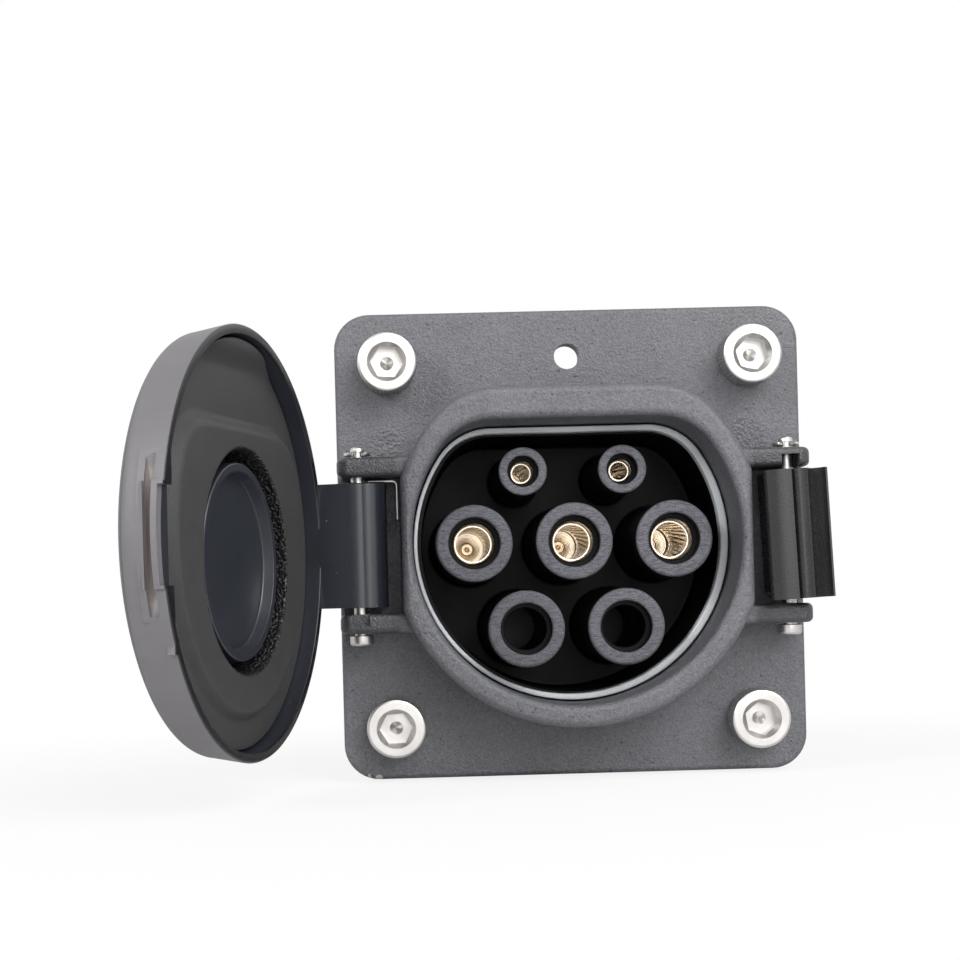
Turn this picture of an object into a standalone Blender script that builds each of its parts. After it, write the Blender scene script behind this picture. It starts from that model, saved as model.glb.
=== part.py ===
"""Panel socket for a charging point: square cast plate, D-shaped collar, sprung lid and latch.

Everything is modelled about the axis of the middle contact, with y = 0 on the plate's back face.
The front of the plate faces -Y. One empty then lifts the whole model, so that the origin lies on
the back face, midway between the two lower fixing holes.
"""

import math

import bmesh
import bpy
from mathutils import Matrix, Vector

mm = 0.001
deg = math.pi / 180

# Clearances
FIT = 0.3 * mm                    # between pieces that seat on or in each other
HINGE_PLAY = 0.3 * mm             # radial, round a hinge pin

# Square plate of the casting
PLATE_THICK = 4.0 * mm
PLATE_MARGIN = 0.1 * mm           # plate beyond the ends of the lugs
PLATE_CORNER = 6.0 * mm
PLATE_EDGE = 0.9 * mm
SCREW_MARGIN = 9.0 * mm           # fixing holes in from the plate's sides
SCREW_HOLE = 6.6 * mm
LOCK_HOLE = 4.4 * mm
LOCK_HOLE_RISE = 6.3 * mm         # above the collar

# Contacts, seen from the front
PITCH = 17.0 * mm                 # centre to centre of neighbouring power contacts
SIGNAL_X = 8.44 * mm
SIGNAL_Z = 12.0 * mm
POWER_PIN = 6.0 * mm
SIGNAL_PIN = 3.0 * mm

# Insulator sleeve: a D with its flat at the top
SHROUD_ROOM = 2.35 * mm           # between the outer shrouds and the sleeve's round wall
TOP_ROOM = 2.6 * mm               # between the signal shrouds and the sleeve's flat wall
SLEEVE_CORNER = 10.8 * mm
SLEEVE_WALL = 1.3 * mm
SLEEVE_SETBACK = 3.0 * mm         # its rim behind the plate's front face
CAVITY_DEPTH = 24.0 * mm          # floor behind the plate's front face
FLOOR_THICK = 4.0 * mm
SHROUD_PROUD = 5.6 * mm           # shroud tops in front of the plate
POWER_SHROUD = 13.1 * mm
POWER_MOUTH = 8.8 * mm
SIGNAL_SHROUD = 8.2 * mm
SIGNAL_MOUTH = 5.3 * mm
SHROUD_DRAFT = 0.25 * mm          # growth of its radius from top to foot
MOUTH_DEPTH = 3.6 * mm
LIP_THICK = 0.8 * mm
POWER_LIP = 7.2 * mm
SIGNAL_LIP = 3.9 * mm
SEAL_RING_WIDTH = 1.0 * mm

# Collar of the casting, round the sleeve
COLLAR_WALL = 3.8 * mm            # at the round sides and below
COLLAR_TOP_WALL = 5.4 * mm
COLLAR_CORNER = 13.5 * mm
COLLAR_PROUD = 12.5 * mm
COLLAR_LIP = 1.3 * mm             # rounding of its front edges
COLLAR_FILLET = 1.4 * mm
SKIRT_WALL = 1.7 * mm             # short tube behind the plate
SKIRT_LENGTH = 6.0 * mm

# Pins, lugs and clips, the same at the hinge and the latch
PIN_BESIDE = 2.8 * mm             # pin axis beside the lid
COLLAR_CLEAR = 3.8 * mm           # between the hinge barrel and the flat at the collar's side
PIN_OUT = 5.0 * mm                # pin axis in front of the plate
PIN_SIZE = 2.4 * mm
PIN_HEAD = 4.0 * mm
PIN_HEAD_THICK = 1.8 * mm
PIN_TIP = 2.0 * mm                # pin end beyond the lug
PIN_GROOVE = 0.35 * mm
CLIP_THICK = 0.5 * mm
CLIP_SIZE = 4.6 * mm
LUG_INNER = 11.5 * mm             # half of the gap between two lugs
LUG_THICK = 3.3 * mm
LUG_PROUD = 9.0 * mm
LUG_BEYOND = 3.5 * mm             # lug end beyond the pin axis
LUG_CORNER = 2.0 * mm
LUG_SLOT = 2.1 * mm               # height of the open slot that shows the pin

# Lid
LID_OPEN = 107.0 * deg
LID_SLACK = 0.8 * mm              # between its skirt and the collar
LID_WALL = 1.5 * mm
LID_TOP = 1.5 * mm
LID_OVERLAP = 2.2 * mm            # rim behind the collar's front
LID_EDGE = 2.4 * mm
LID_DRAFT = 0.3 * mm
FOAM_THICK = 5.2 * mm
FOAM_GROOVE = 1.7 * mm            # left in the foam by the collar
GROOVE_ROOM = 0.9 * mm            # between the groove's inner side and the collar
FOAM_MARGIN = 14.4 * mm           # width of the foam's ring, at its sides
FOAM_DROP = 3.1 * mm              # hole centre below the lid's centre
BOSS_GAP = 2.0 * mm
BOSS_PROUD = 4.6 * mm
BOSS_RIM = 1.4 * mm
BOSS_DISH = 1.8 * mm
BARREL_RADIUS = 3.3 * mm
BARREL_CLEAR = 1.1 * mm           # above and below, to the lugs
KNUCKLE_SHIFT = 1.4 * mm          # thicker side of the barrel, towards the collar when open
TAB_THICK = 1.9 * mm
HEEL_WIDTH = 3.0 * mm
CATCH_ROOM = 0.4 * mm             # above and below the hook
CATCH_BAR = 0.9 * mm              # rim bar that the latch grips
CATCH_NOTCH = 0.8 * mm            # the middle of the rim is lower than its ends
NOTCH_HALF = 6.9 * mm
POCKET_DEPTH = 2.9 * mm           # slot for the hook's nose, behind the bar
POCKET_TALL = 1.5 * mm
RELIEF_DEPTH = 1.1 * mm           # shallower recess for the hook's back
RELIEF_TALL = 3.9 * mm
CATCH_PAD = 1.1 * mm              # wall round the slot

# Latch lever
LATCH_CLEAR = 0.7 * mm            # above and below, to the lugs
LATCH_COCK = 2.4 * deg            # it sits crooked on its loose pin
LATCH_PLAY = 0.55 * mm
HOOK_GAP = 0.4 * mm               # hook face clear of the rim bar
NOSE_THICK = 0.5 * mm
RAMP_RISE = 0.9 * mm              # from the nose up to the crease
CREASE_X = -0.5 * mm              # beside the pin axis
LATCH_BARREL = 3.3 * mm
BUMP_RADIUS = 1.9 * mm
BUMP_X = 1.1 * mm
VALLEY_X = 3.5 * mm
VALLEY_OUT = 5.5 * mm             # in front of the pin axis
WING_REACH = 6.0 * mm
WING_OUT = 7.0 * mm
WING_THICK = 2.2 * mm

# Torsion springs
WIRE = 0.55 * mm
COIL_RADIUS = 1.75 * mm
COIL_TURNS = 4
COIL_PITCH = 0.72 * mm
LEG_DROP = 6.5 * mm

# Socket-head screws
HEAD_SIZE = 10.0 * mm
HEAD_HEIGHT = 6.0 * mm
HEX_SIZE = 5.0 * mm
HEX_DEPTH = 3.0 * mm
SCREW_SIZE = 6.0 * mm
SCREW_LENGTH = 16.0 * mm

# Back: insulator flange, its screws and the contact retainer
EAR_RADIUS = 3.4 * mm
EAR_OFFSET = 2.4 * mm             # ear centres outside the skirt
REAR_FLANGE_THICK = 3.0 * mm
SMALL_SCREW = 2.6 * mm
SMALL_HEAD = 5.2 * mm
SMALL_HEAD_HEIGHT = 1.9 * mm
REAR_TUBE_LENGTH = 8.0 * mm
REAR_TUBE_WALL = 1.5 * mm
RETAINER_THICK = 3.0 * mm
RETAINER_MARGIN = 1.2 * mm
POST_SIZE = 6.0 * mm
CRIMP_OUT = 11.0 * mm

# Brass contacts
BRASS_WALL = 0.7 * mm
CAGE_THICK = 0.2 * mm
CAGE_GAP = 0.1 * mm
CAGE_SQUEEZE = 0.12 * mm          # how far the blades bow inwards at the waist
CAGE_BAND = 1.1 * mm
BLADE_TWIST = 32 * deg
COLLAR_RING = 0.9 * mm            # shoulder that stops a contact in its bore
COLLAR_RING_THICK = 2.0 * mm
POWER_CRIMP = 4.4 * mm
SIGNAL_CRIMP = 1.9 * mm

# Facets
ARC_STEPS = 4
ROUND_STEPS = 32
LID_STEPS = 36
SHROUD_STEPS = 16
BORE_STEPS = 14
FINE_STEPS = 12
SMALL_STEPS = 10
PILOT_STEPS = 8
POWER_BLADES = 12
SIGNAL_BLADES = 8
COIL_STEPS = 8
WIRE_SIDES = 5

# Each size follows from the contacts' pitch, outwards to the lid, the pins and the plate.
FACE = -PLATE_THICK
SLEEVE_RADIUS = PITCH + POWER_SHROUD / 2 + SHROUD_ROOM + SLEEVE_WALL
SLEEVE_FLAT = SIGNAL_Z + SIGNAL_SHROUD / 2 + TOP_ROOM + SLEEVE_WALL
BORE_RADIUS = SLEEVE_RADIUS + FIT
BORE_FLAT = SLEEVE_FLAT + FIT
BORE_CORNER = SLEEVE_CORNER + FIT
COLLAR_RADIUS = BORE_RADIUS + COLLAR_WALL
COLLAR_FLAT = BORE_FLAT + COLLAR_TOP_WALL
SKIRT_RADIUS = BORE_RADIUS + SKIRT_WALL
LID_RADIUS = COLLAR_RADIUS + LID_SLACK + LID_WALL
PIN_X = LID_RADIUS + PIN_BESIDE
COLLAR_SIDE_FLAT = PIN_X - BARREL_RADIUS - COLLAR_CLEAR
LUG_END = PIN_X + LUG_BEYOND
PLATE_SIDE = 2 * (LUG_END + PLATE_MARGIN)
SCREW_SPACING = PLATE_SIDE - 2 * SCREW_MARGIN
LOCK_HOLE_HEIGHT = COLLAR_FLAT + LOCK_HOLE_RISE
EAR_CIRCLE = SKIRT_RADIUS + EAR_OFFSET
BARREL_HALF = LUG_INNER - BARREL_CLEAR
LATCH_HALF = LUG_INNER - LATCH_CLEAR
CATCH_HALF = LATCH_HALF + CATCH_ROOM
FOAM_RADIUS = LID_RADIUS - LID_WALL - LID_DRAFT - FIT
FOAM_HOLE_RADIUS = FOAM_RADIUS - FOAM_MARGIN
FLOOR_Y = FACE + CAVITY_DEPTH
FLOOR_BACK = FLOOR_Y + FLOOR_THICK
TUBE_BACK = FLOOR_BACK + REAR_TUBE_LENGTH
RETAINER_Y = TUBE_BACK + FIT
POWER_BODY = POWER_PIN + 2 * (CAGE_THICK + CAGE_GAP + BRASS_WALL)
SIGNAL_BODY = SIGNAL_PIN + 2 * (CAGE_THICK + CAGE_GAP + BRASS_WALL * 0.6)
LIP_BACK = FACE - SHROUD_PROUD + MOUTH_DEPTH + LIP_THICK

POWER_PLACES = {
    "n": (-PITCH, 0.0),
    "pe": (0.0, 0.0),
    "l1": (PITCH, 0.0),
    "l2": (-PITCH / 2, -PITCH * math.sin(60 * deg)),
    "l3": (PITCH / 2, -PITCH * math.sin(60 * deg)),
}
SIGNAL_PLACES = {"cc": (-SIGNAL_X, SIGNAL_Z), "cp": (SIGNAL_X, SIGNAL_Z)}
FITTED_POWER = ("n", "pe", "l1")  # the two lower shrouds stay empty on a single-phase socket
EAR_PLACES = [
    (EAR_CIRCLE * math.cos(a * deg), EAR_CIRCLE * math.sin(a * deg)) for a in (45, 135, 225, 315)
]
POST_PLACES = [(-PITCH * 1.06, SIGNAL_Z * 0.92), (PITCH * 1.06, SIGNAL_Z * 0.92)]


def clear_scene():
    for old in list(bpy.data.objects):
        bpy.data.objects.remove(old, do_unlink=True)


def material(name, colour, roughness, metallic=0.0):
    made = bpy.data.materials.new(name)
    made.use_nodes = True
    shader = made.node_tree.nodes["Principled BSDF"]
    shader.inputs["Base Color"].default_value = (*colour, 1.0)
    shader.inputs["Roughness"].default_value = roughness
    shader.inputs["Metallic"].default_value = metallic
    return made


def empty(name, place, parent=None):
    made = bpy.data.objects.new(name, None)
    bpy.context.scene.collection.objects.link(made)
    made.location = place
    made.parent = parent
    return made


def finish_mesh(name, bm, parent, finish):
    """A new object from a bmesh, with its faces turned outwards and round parts shaded smooth."""
    bmesh.ops.recalc_face_normals(bm, faces=bm.faces)
    mesh = bpy.data.meshes.new(name)
    bm.to_mesh(mesh)
    bm.free()
    mesh.shade_smooth()
    mesh.set_sharp_from_angle(angle=35 * deg)
    made = bpy.data.objects.new(name, mesh)
    bpy.context.scene.collection.objects.link(made)
    made.parent = parent
    if finish:
        mesh.materials.append(finish)
    return made


def loft(name, rings, parent, finish=None, loop=False):
    """Skin over rings of equal count. Open lofts get flat ends; a loop joins the last to the first."""
    bm = bmesh.new()
    rows = [[bm.verts.new(point) for point in ring] for ring in rings]
    count = len(rows[0])
    pairs = list(zip(rows, rows[1:]))
    if loop:
        pairs.append((rows[-1], rows[0]))
    for low, high in pairs:
        for i in range(count):
            j = (i + 1) % count
            bm.faces.new((low[i], low[j], high[j], high[i]))
    if not loop:
        bm.faces.new(rows[0])
        bm.faces.new(rows[-1])
    return finish_mesh(name, bm, parent, finish)


def arc(cx, cz, radius, start, end, steps):
    return [
        (
            cx + radius * math.cos(start + (end - start) * i / steps),
            cz + radius * math.sin(start + (end - start) * i / steps),
        )
        for i in range(steps + 1)
    ]


def circle(radius, steps, cx=0.0, cz=0.0):
    return arc(cx, cz, radius, 0.0, 2 * math.pi, steps)[:-1]


def dee(radius, flat, corner, side=None):
    """A circle cut by a flat at the top, with round corners and, if asked, a flat at each side."""
    corner_z = flat - corner
    corner_x = math.sqrt((radius - corner) ** 2 - corner_z**2)
    meets = math.atan2(corner_z, corner_x)
    edge = math.acos(min(side / radius, 1.0)) if side else 0.0
    right = arc(corner_x, corner_z, corner, 90 * deg, meets, ARC_STEPS)
    right += arc(0, 0, radius, meets, edge, ARC_STEPS // 2)[1:]
    below = arc(0, 0, radius, -edge, -math.pi + edge, ARC_STEPS * 3)
    if edge == 0.0:
        below = below[1:-1]
    left = [(-x, z) for x, z in reversed(right)]
    return right + below + left


def rounded_square(side, corner):
    half = side / 2 - corner
    points = []
    for quarter, (sx, sz) in enumerate(((1, 1), (-1, 1), (-1, -1), (1, -1))):
        start = quarter * 90 * deg
        points += arc(sx * half, sz * half, corner, start, start + 90 * deg, ARC_STEPS)
    return points


def box(name, low, high, parent):
    outline = [(low[0], low[1]), (low[0], high[1]), (high[0], high[1]), (high[0], low[1])]
    return loft(name, [at_z(outline, low[2]), at_z(outline, high[2])], parent)


def at_y(outline, y):
    return [Vector((x, y, z)) for x, z in outline]


def at_z(outline, z):
    return [Vector((x, y, z)) for x, y in outline]


def sleeve_ring(grow, y):
    """Outline of the insulator's sleeve, grown outwards."""
    return at_y(dee(SLEEVE_RADIUS + grow, SLEEVE_FLAT + grow, SLEEVE_CORNER + grow), y)


def turned(name, profile, steps, parent, finish=None, place=(0.0, 0.0), loop=False):
    """A profile of (radius, y) turned about an axis along Y at the given x and z."""
    rings = [at_y(circle(radius, steps, *place), y) for radius, y in profile]
    return loft(name, rings, parent, finish, loop)


def upright(name, profile, steps, parent, finish=None, loop=False):
    """A profile of (radius, z) turned about the parent's own Z axis."""
    rings = [at_z(circle(radius, steps), z) for radius, z in profile]
    return loft(name, rings, parent, finish, loop)


def combine(target, other, operation):
    modifier = target.modifiers.new(other.name, "BOOLEAN")
    modifier.object = other
    modifier.operation = operation
    modifier.solver = "EXACT"
    other.hide_render = True
    other.display_type = "WIRE"


def add(target, *others):
    for other in others:
        combine(target, other, "UNION")


def cut(target, *others):
    for other in others:
        combine(target, other, "DIFFERENCE")


def lug(name, side, low, parent):
    """One ear that carries a pin: straight sides, rounded front outer corner."""
    root = COLLAR_SIDE_FLAT - SKIRT_WALL * 1.6
    front = FACE - LUG_PROUD
    corner = arc(LUG_END - LUG_CORNER, front + LUG_CORNER, LUG_CORNER, -90 * deg, 0, ARC_STEPS // 2)
    outline = [(root, FACE + PLATE_THICK / 2), (root, front), *corner, (LUG_END, FACE + PLATE_THICK / 2)]
    outline = [(side * x, y) for x, y in outline]
    return loft(name, [at_z(outline, low), at_z(outline, low + LUG_THICK)], parent)


def front_plate(parent, finish):
    """One casting: square plate, collar, four lugs and the short tube behind."""
    inset = PLATE_EDGE * 0.3
    plate = loft(
        "front_plate",
        [
            at_y(rounded_square(PLATE_SIDE, PLATE_CORNER), 0),
            at_y(rounded_square(PLATE_SIDE, PLATE_CORNER), FACE + PLATE_EDGE),
            at_y(rounded_square(PLATE_SIDE - 2 * inset, PLATE_CORNER - inset), FACE + inset),
            at_y(rounded_square(PLATE_SIDE - 2 * PLATE_EDGE, PLATE_CORNER - PLATE_EDGE), FACE),
        ],
        parent,
        finish,
    )

    def collar_ring(grow, y):
        side = COLLAR_SIDE_FLAT + grow
        return at_y(dee(COLLAR_RADIUS + grow, COLLAR_FLAT + grow, COLLAR_CORNER + grow, side), y)

    front = FACE - COLLAR_PROUD
    collar = loft(
        "collar_form",
        [
            collar_ring(COLLAR_FILLET, FACE + PLATE_THICK / 2),
            collar_ring(COLLAR_FILLET, FACE),
            collar_ring(COLLAR_FILLET * 0.3, FACE - COLLAR_FILLET * 0.3),
            collar_ring(0, FACE - COLLAR_FILLET),
            collar_ring(0, front + COLLAR_LIP),
            collar_ring(-COLLAR_LIP * 0.3, front + COLLAR_LIP * 0.3),
            collar_ring(-COLLAR_LIP, front),
        ],
        parent,
    )
    skirt = turned(
        "skirt_form",
        [(SKIRT_RADIUS, -PLATE_THICK / 2), (SKIRT_RADIUS, SKIRT_LENGTH)],
        ROUND_STEPS,
        parent,
    )
    add(plate, collar, skirt)
    for i, place in enumerate(EAR_PLACES):
        boss = turned(
            f"boss_form_{i}",
            [(EAR_RADIUS, -PLATE_THICK / 2), (EAR_RADIUS, SKIRT_LENGTH)],
            SMALL_STEPS,
            parent,
            place=place,
        )
        add(plate, boss)
    for side in (-1, 1):
        for low in (LUG_INNER, -LUG_INNER - LUG_THICK):
            add(plate, lug(f"lug_form_{side}_{low > 0}", side, low, parent))

    def bore_ring(grow, y):
        return at_y(dee(BORE_RADIUS + grow, BORE_FLAT + grow, BORE_CORNER + grow), y)

    bore = loft(
        "bore_cutter",
        [
            bore_ring(0, SKIRT_LENGTH * 2),
            bore_ring(0, front + COLLAR_LIP),
            bore_ring(COLLAR_LIP * 0.3, front + COLLAR_LIP * 0.3),
            bore_ring(COLLAR_LIP, front),
            bore_ring(COLLAR_LIP, front - PLATE_THICK),
        ],
        parent,
    )
    cut(plate, bore)
    corner = SCREW_SPACING / 2
    holes = [((sx * corner, sz * corner), SCREW_HOLE) for sx in (-1, 1) for sz in (-1, 1)]
    holes.append(((0.0, LOCK_HOLE_HEIGHT), LOCK_HOLE))
    for i, (place, size) in enumerate(holes):
        hole = turned(
            f"hole_cutter_{i}",
            [(size / 2, PLATE_THICK), (size / 2, -2 * PLATE_THICK)],
            FINE_STEPS,
            parent,
            place=place,
        )
        cut(plate, hole)
    for i, place in enumerate(EAR_PLACES):
        pilot = turned(
            f"pilot_cutter_{i}",
            [(SMALL_SCREW / 2 + FIT / 2, SKIRT_LENGTH * 2), (SMALL_SCREW / 2 + FIT / 2, -PLATE_THICK / 4)],
            PILOT_STEPS,
            parent,
            place=place,
        )
        cut(plate, pilot)
    reach = LUG_INNER + 2 * LUG_THICK
    for side in (-1, 1):
        spindle = empty(f"spindle_{side}", (side * PIN_X, FACE - PIN_OUT, 0), parent)
        radius = PIN_SIZE / 2 + FIT / 2
        passage = upright(f"pin_cutter_{side}", [(radius, -reach), (radius, reach)], SMALL_STEPS, spindle)
        cut(plate, passage)
        # The slot lies in the upper lug at the latch and in the lower one at the hinge.
        wide = PIN_SIZE / 2 + FIT
        outline = [(-wide, 0), (wide, 0), (wide, -LUG_PROUD), (-wide, -LUG_PROUD)]
        start = LUG_INNER - LUG_SLOT
        levels = sorted((side * start, side * (LUG_INNER + LUG_SLOT)))
        slot = loft(f"slot_cutter_{side}", [at_z(outline, levels[0]), at_z(outline, levels[1])], spindle)
        cut(plate, slot)
    return plate


def socket_body(parent, finish):
    """The insulator's sleeve with the flange behind the casting."""
    rim = FACE + SLEEVE_SETBACK
    flange_front = SKIRT_LENGTH + FIT
    flange_back = flange_front + REAR_FLANGE_THICK
    ends = [sleeve_ring(0, rim), sleeve_ring(0, FLOOR_Y - FIT)]
    body = loft("socket_body", ends, parent, finish)
    flange = turned(
        "flange_form",
        [(SKIRT_RADIUS, flange_front), (SKIRT_RADIUS, flange_back)],
        ROUND_STEPS,
        parent,
    )
    add(body, flange)
    for i, place in enumerate(EAR_PLACES):
        ear = turned(
            f"ear_form_{i}",
            [(EAR_RADIUS, flange_front), (EAR_RADIUS, flange_back)],
            SMALL_STEPS,
            parent,
            place=place,
        )
        add(body, ear)
    cavity = loft(
        "cavity_cutter",
        [sleeve_ring(-SLEEVE_WALL, rim - PLATE_THICK), sleeve_ring(-SLEEVE_WALL, FLOOR_BACK)],
        parent,
    )
    cut(body, cavity)
    for i, place in enumerate(EAR_PLACES):
        radius = SMALL_SCREW / 2 + FIT / 2
        ends = [(radius, flange_front - PLATE_THICK), (radius, flange_back + PLATE_THICK)]
        cut(body, turned(f"ear_pilot_{i}", ends, PILOT_STEPS, parent, place=place))
    return body


def socket_floor(parent, finish):
    """Floor behind the sleeve, with a hole for each shroud and two posts for the retainer."""
    floor = loft("socket_floor", [sleeve_ring(0, FLOOR_Y), sleeve_ring(0, FLOOR_BACK)], parent, finish)
    for i, place in enumerate(POST_PLACES):
        ends = [(POST_SIZE / 2, FLOOR_BACK - FLOOR_THICK / 2), (POST_SIZE / 2, TUBE_BACK)]
        add(floor, turned(f"post_form_{i}", ends, SMALL_STEPS, parent, place=place))
    holes = [(place, POWER_SHROUD, SHROUD_STEPS) for place in POWER_PLACES.values()]
    holes += [(place, SIGNAL_SHROUD, FINE_STEPS) for place in SIGNAL_PLACES.values()]
    for i, (place, outside, steps) in enumerate(holes):
        radius = outside / 2 + SHROUD_DRAFT + FIT
        ends = [(radius, FLOOR_Y - FLOOR_THICK), (radius, FLOOR_BACK + FLOOR_THICK)]
        cut(floor, turned(f"floor_cutter_{i}", ends, steps, parent, place=place))
    for i, place in enumerate(POST_PLACES):
        radius = SMALL_SCREW / 2 + FIT / 2
        ends = [(radius, FLOOR_BACK), (radius, TUBE_BACK + PLATE_THICK)]
        cut(floor, turned(f"post_pilot_{i}", ends, PILOT_STEPS, parent, place=place))
    return floor


def shroud(name, place, outside, mouth, lip, brass, steps, parent, finish):
    """Tube round one contact: lipped mouth in front, stepped bore, open behind the floor."""
    top = FACE - SHROUD_PROUD
    edge = LIP_THICK / 2
    radius = outside / 2
    wide = radius + SHROUD_DRAFT
    bore = brass / 2 + FIT / 2
    ring = bore + COLLAR_RING
    rear = max(ring + REAR_TUBE_WALL, wide)
    step_y = FLOOR_BACK + FIT
    seat = TUBE_BACK - COLLAR_RING_THICK - FIT
    mouth_back = top + MOUTH_DEPTH
    outer = [(radius - edge, top), (radius, top + edge), (wide, step_y)]
    if rear > wide:
        outer.append((rear, step_y))
    inner = [
        (rear, TUBE_BACK),
        (ring, TUBE_BACK),
        (ring, seat),
        (bore, seat),
        (bore, LIP_BACK),
        (lip / 2, LIP_BACK),
        (lip / 2, mouth_back),
        (mouth / 2, mouth_back),
        (mouth / 2, top),
    ]
    return turned(name, outer + inner, steps, parent, finish, place=place, loop=True)


def seal_ring(parent, finish):
    """Flat rubber ring on the sleeve's rim, inside the collar."""
    rear = FACE + SLEEVE_SETBACK - FIT
    front = rear - SLEEVE_SETBACK * 0.8
    inner = -SEAL_RING_WIDTH
    rings = [sleeve_ring(0, rear), sleeve_ring(0, front), sleeve_ring(inner, front), sleeve_ring(inner, rear)]
    return loft("seal_ring", rings, parent, finish, loop=True)


def retainer(parent, finish):
    """Rear plate that holds the contacts in, with a hole for each crimp barrel."""
    radius = PITCH + POWER_BODY / 2 + COLLAR_RING + REAR_TUBE_WALL + RETAINER_MARGIN
    outline = dee(radius, SLEEVE_FLAT - SLEEVE_WALL, SLEEVE_CORNER)
    plate = loft(
        "contact_retainer",
        [
            at_y(outline, RETAINER_Y),
            at_y(outline, RETAINER_Y + RETAINER_THICK - PLATE_EDGE / 2),
            at_y([(x * 0.985, z * 0.985) for x, z in outline], RETAINER_Y + RETAINER_THICK),
        ],
        parent,
        finish,
    )
    holes = [(POWER_PLACES[key], POWER_BODY / 2 + FIT) for key in FITTED_POWER]
    holes += [(place, SIGNAL_BODY / 2 + FIT) for place in SIGNAL_PLACES.values()]
    holes += [(place, SMALL_SCREW / 2 + FIT / 2) for place in POST_PLACES]
    for i, (place, size) in enumerate(holes):
        reach = RETAINER_THICK
        hole = turned(
            f"retainer_cutter_{i}",
            [(size, RETAINER_Y - reach), (size, RETAINER_Y + 2 * reach)],
            SMALL_STEPS,
            parent,
            place=place,
        )
        cut(plate, hole)
    return plate


def contact(name, place, pin, body, crimp, steps, parent, finish):
    """Turned brass sleeve: chamfered mouth and blind bore in front, shoulder and crimp barrel behind."""
    front = LIP_BACK + FIT
    outer = body / 2
    bore = pin / 2 + CAGE_THICK + CAGE_GAP
    chamfer = (outer - bore) * 0.8
    seat = FLOOR_BACK + REAR_TUBE_LENGTH - COLLAR_RING_THICK
    shoulder_back = TUBE_BACK
    back = RETAINER_Y + RETAINER_THICK + CRIMP_OUT
    bore_floor = FLOOR_Y + PLATE_THICK / 2
    return turned(
        name,
        [
            (bore * 0.12, bore_floor + bore * 0.3),
            (bore * 0.9, bore_floor),
            (bore, bore_floor - CAGE_THICK),
            (bore, front + chamfer),
            (bore + chamfer, front),
            (outer, front + CAGE_THICK),
            (outer, seat),
            (outer + COLLAR_RING - FIT / 2, seat),
            (outer + COLLAR_RING - FIT / 2, shoulder_back),
            (outer, shoulder_back),
            (outer, back),
            (crimp / 2, back),
            (crimp / 2, back - CRIMP_OUT * 0.8),
        ],
        steps,
        parent,
        finish,
        place=place,
    )


def contact_cage(name, place, pin, blades, parent, finish):
    """Sprung cage in a contact: two bands joined by slanted blades that bow in to grip the pin."""
    steps = blades * 2
    front = LIP_BACK + FIT + BRASS_WALL * 1.6
    back = FLOOR_Y - CAGE_BAND
    outer = pin / 2 + CAGE_THICK
    inner = pin / 2
    waist_z = (front + back) / 2

    def point(step, radius, y, twist):
        angle = 2 * math.pi * step / steps + twist
        return Vector((place[0] + radius * math.cos(angle), y, place[1] + radius * math.sin(angle)))

    stations = [
        (front + CAGE_BAND, 0.0, 0.0),
        (waist_z, BLADE_TWIST / 2, CAGE_SQUEEZE),
        (back - CAGE_BAND, BLADE_TWIST, 0.0),
    ]
    bm = bmesh.new()
    # Each band is a loop of four edges round its section; each blade ends on two steps of a band.
    edges = [(front, 0.0), (front + CAGE_BAND, 0.0), (back - CAGE_BAND, BLADE_TWIST), (back, BLADE_TWIST)]
    outs = [[bm.verts.new(point(i, outer, y, t)) for i in range(steps)] for y, t in edges]
    ins = [[bm.verts.new(point(i, inner, y, t)) for i in range(steps)] for y, t in edges]
    for band in (0, 2):
        for i in range(steps):
            j = (i + 1) % steps
            bm.faces.new((outs[band][i], outs[band][j], outs[band + 1][j], outs[band + 1][i]))
            bm.faces.new((ins[band][i], ins[band + 1][i], ins[band + 1][j], ins[band][j]))
            free = band if band == 0 else band + 1
            bm.faces.new((outs[free][i], ins[free][i], ins[free][j], outs[free][j]))
            joined = band + 1 if band == 0 else band
            if i % 2:
                bm.faces.new((outs[joined][i], outs[joined][j], ins[joined][j], ins[joined][i]))
    for blade in range(0, steps, 2):
        rows = [(outs[1][blade], outs[1][blade + 1], ins[1][blade + 1], ins[1][blade])]
        y, twist, squeeze = stations[1]
        corners = [(blade, outer), (blade + 1, outer), (blade + 1, inner), (blade, inner)]
        rows.append([bm.verts.new(point(step, radius - squeeze, y, twist)) for step, radius in corners])
        rows.append((outs[2][blade], outs[2][blade + 1], ins[2][blade + 1], ins[2][blade]))
        for low, high in zip(rows, rows[1:]):
            for i in range(4):
                j = (i + 1) % 4
                bm.faces.new((low[i], low[j], high[j], high[i]))
    return finish_mesh(name, bm, parent, finish)


def cap_screw(name, place, parent, steel):
    """Socket-head screw: chamfered head with a hexagon recess, plain shank."""
    under = FACE - FIT
    top = under - HEAD_HEIGHT
    radius = HEAD_SIZE / 2
    edge = HEAD_SIZE * 0.05
    shank = SCREW_SIZE / 2
    screw = turned(
        name,
        [
            (radius - edge, top),
            (radius, top + edge),
            (radius, under),
            (shank, under),
            (shank, under + SCREW_LENGTH - edge),
            (shank - edge, under + SCREW_LENGTH),
        ],
        SHROUD_STEPS,
        parent,
        steel,
        place=place,
    )
    hexagon = circle(HEX_SIZE / math.sqrt(3), 6, *place)
    recess = loft(
        f"{name}_hex_cutter",
        [at_y(hexagon, top - edge), at_y(hexagon, top + HEX_DEPTH)],
        parent,
    )
    cut(screw, recess)
    return screw


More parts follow.
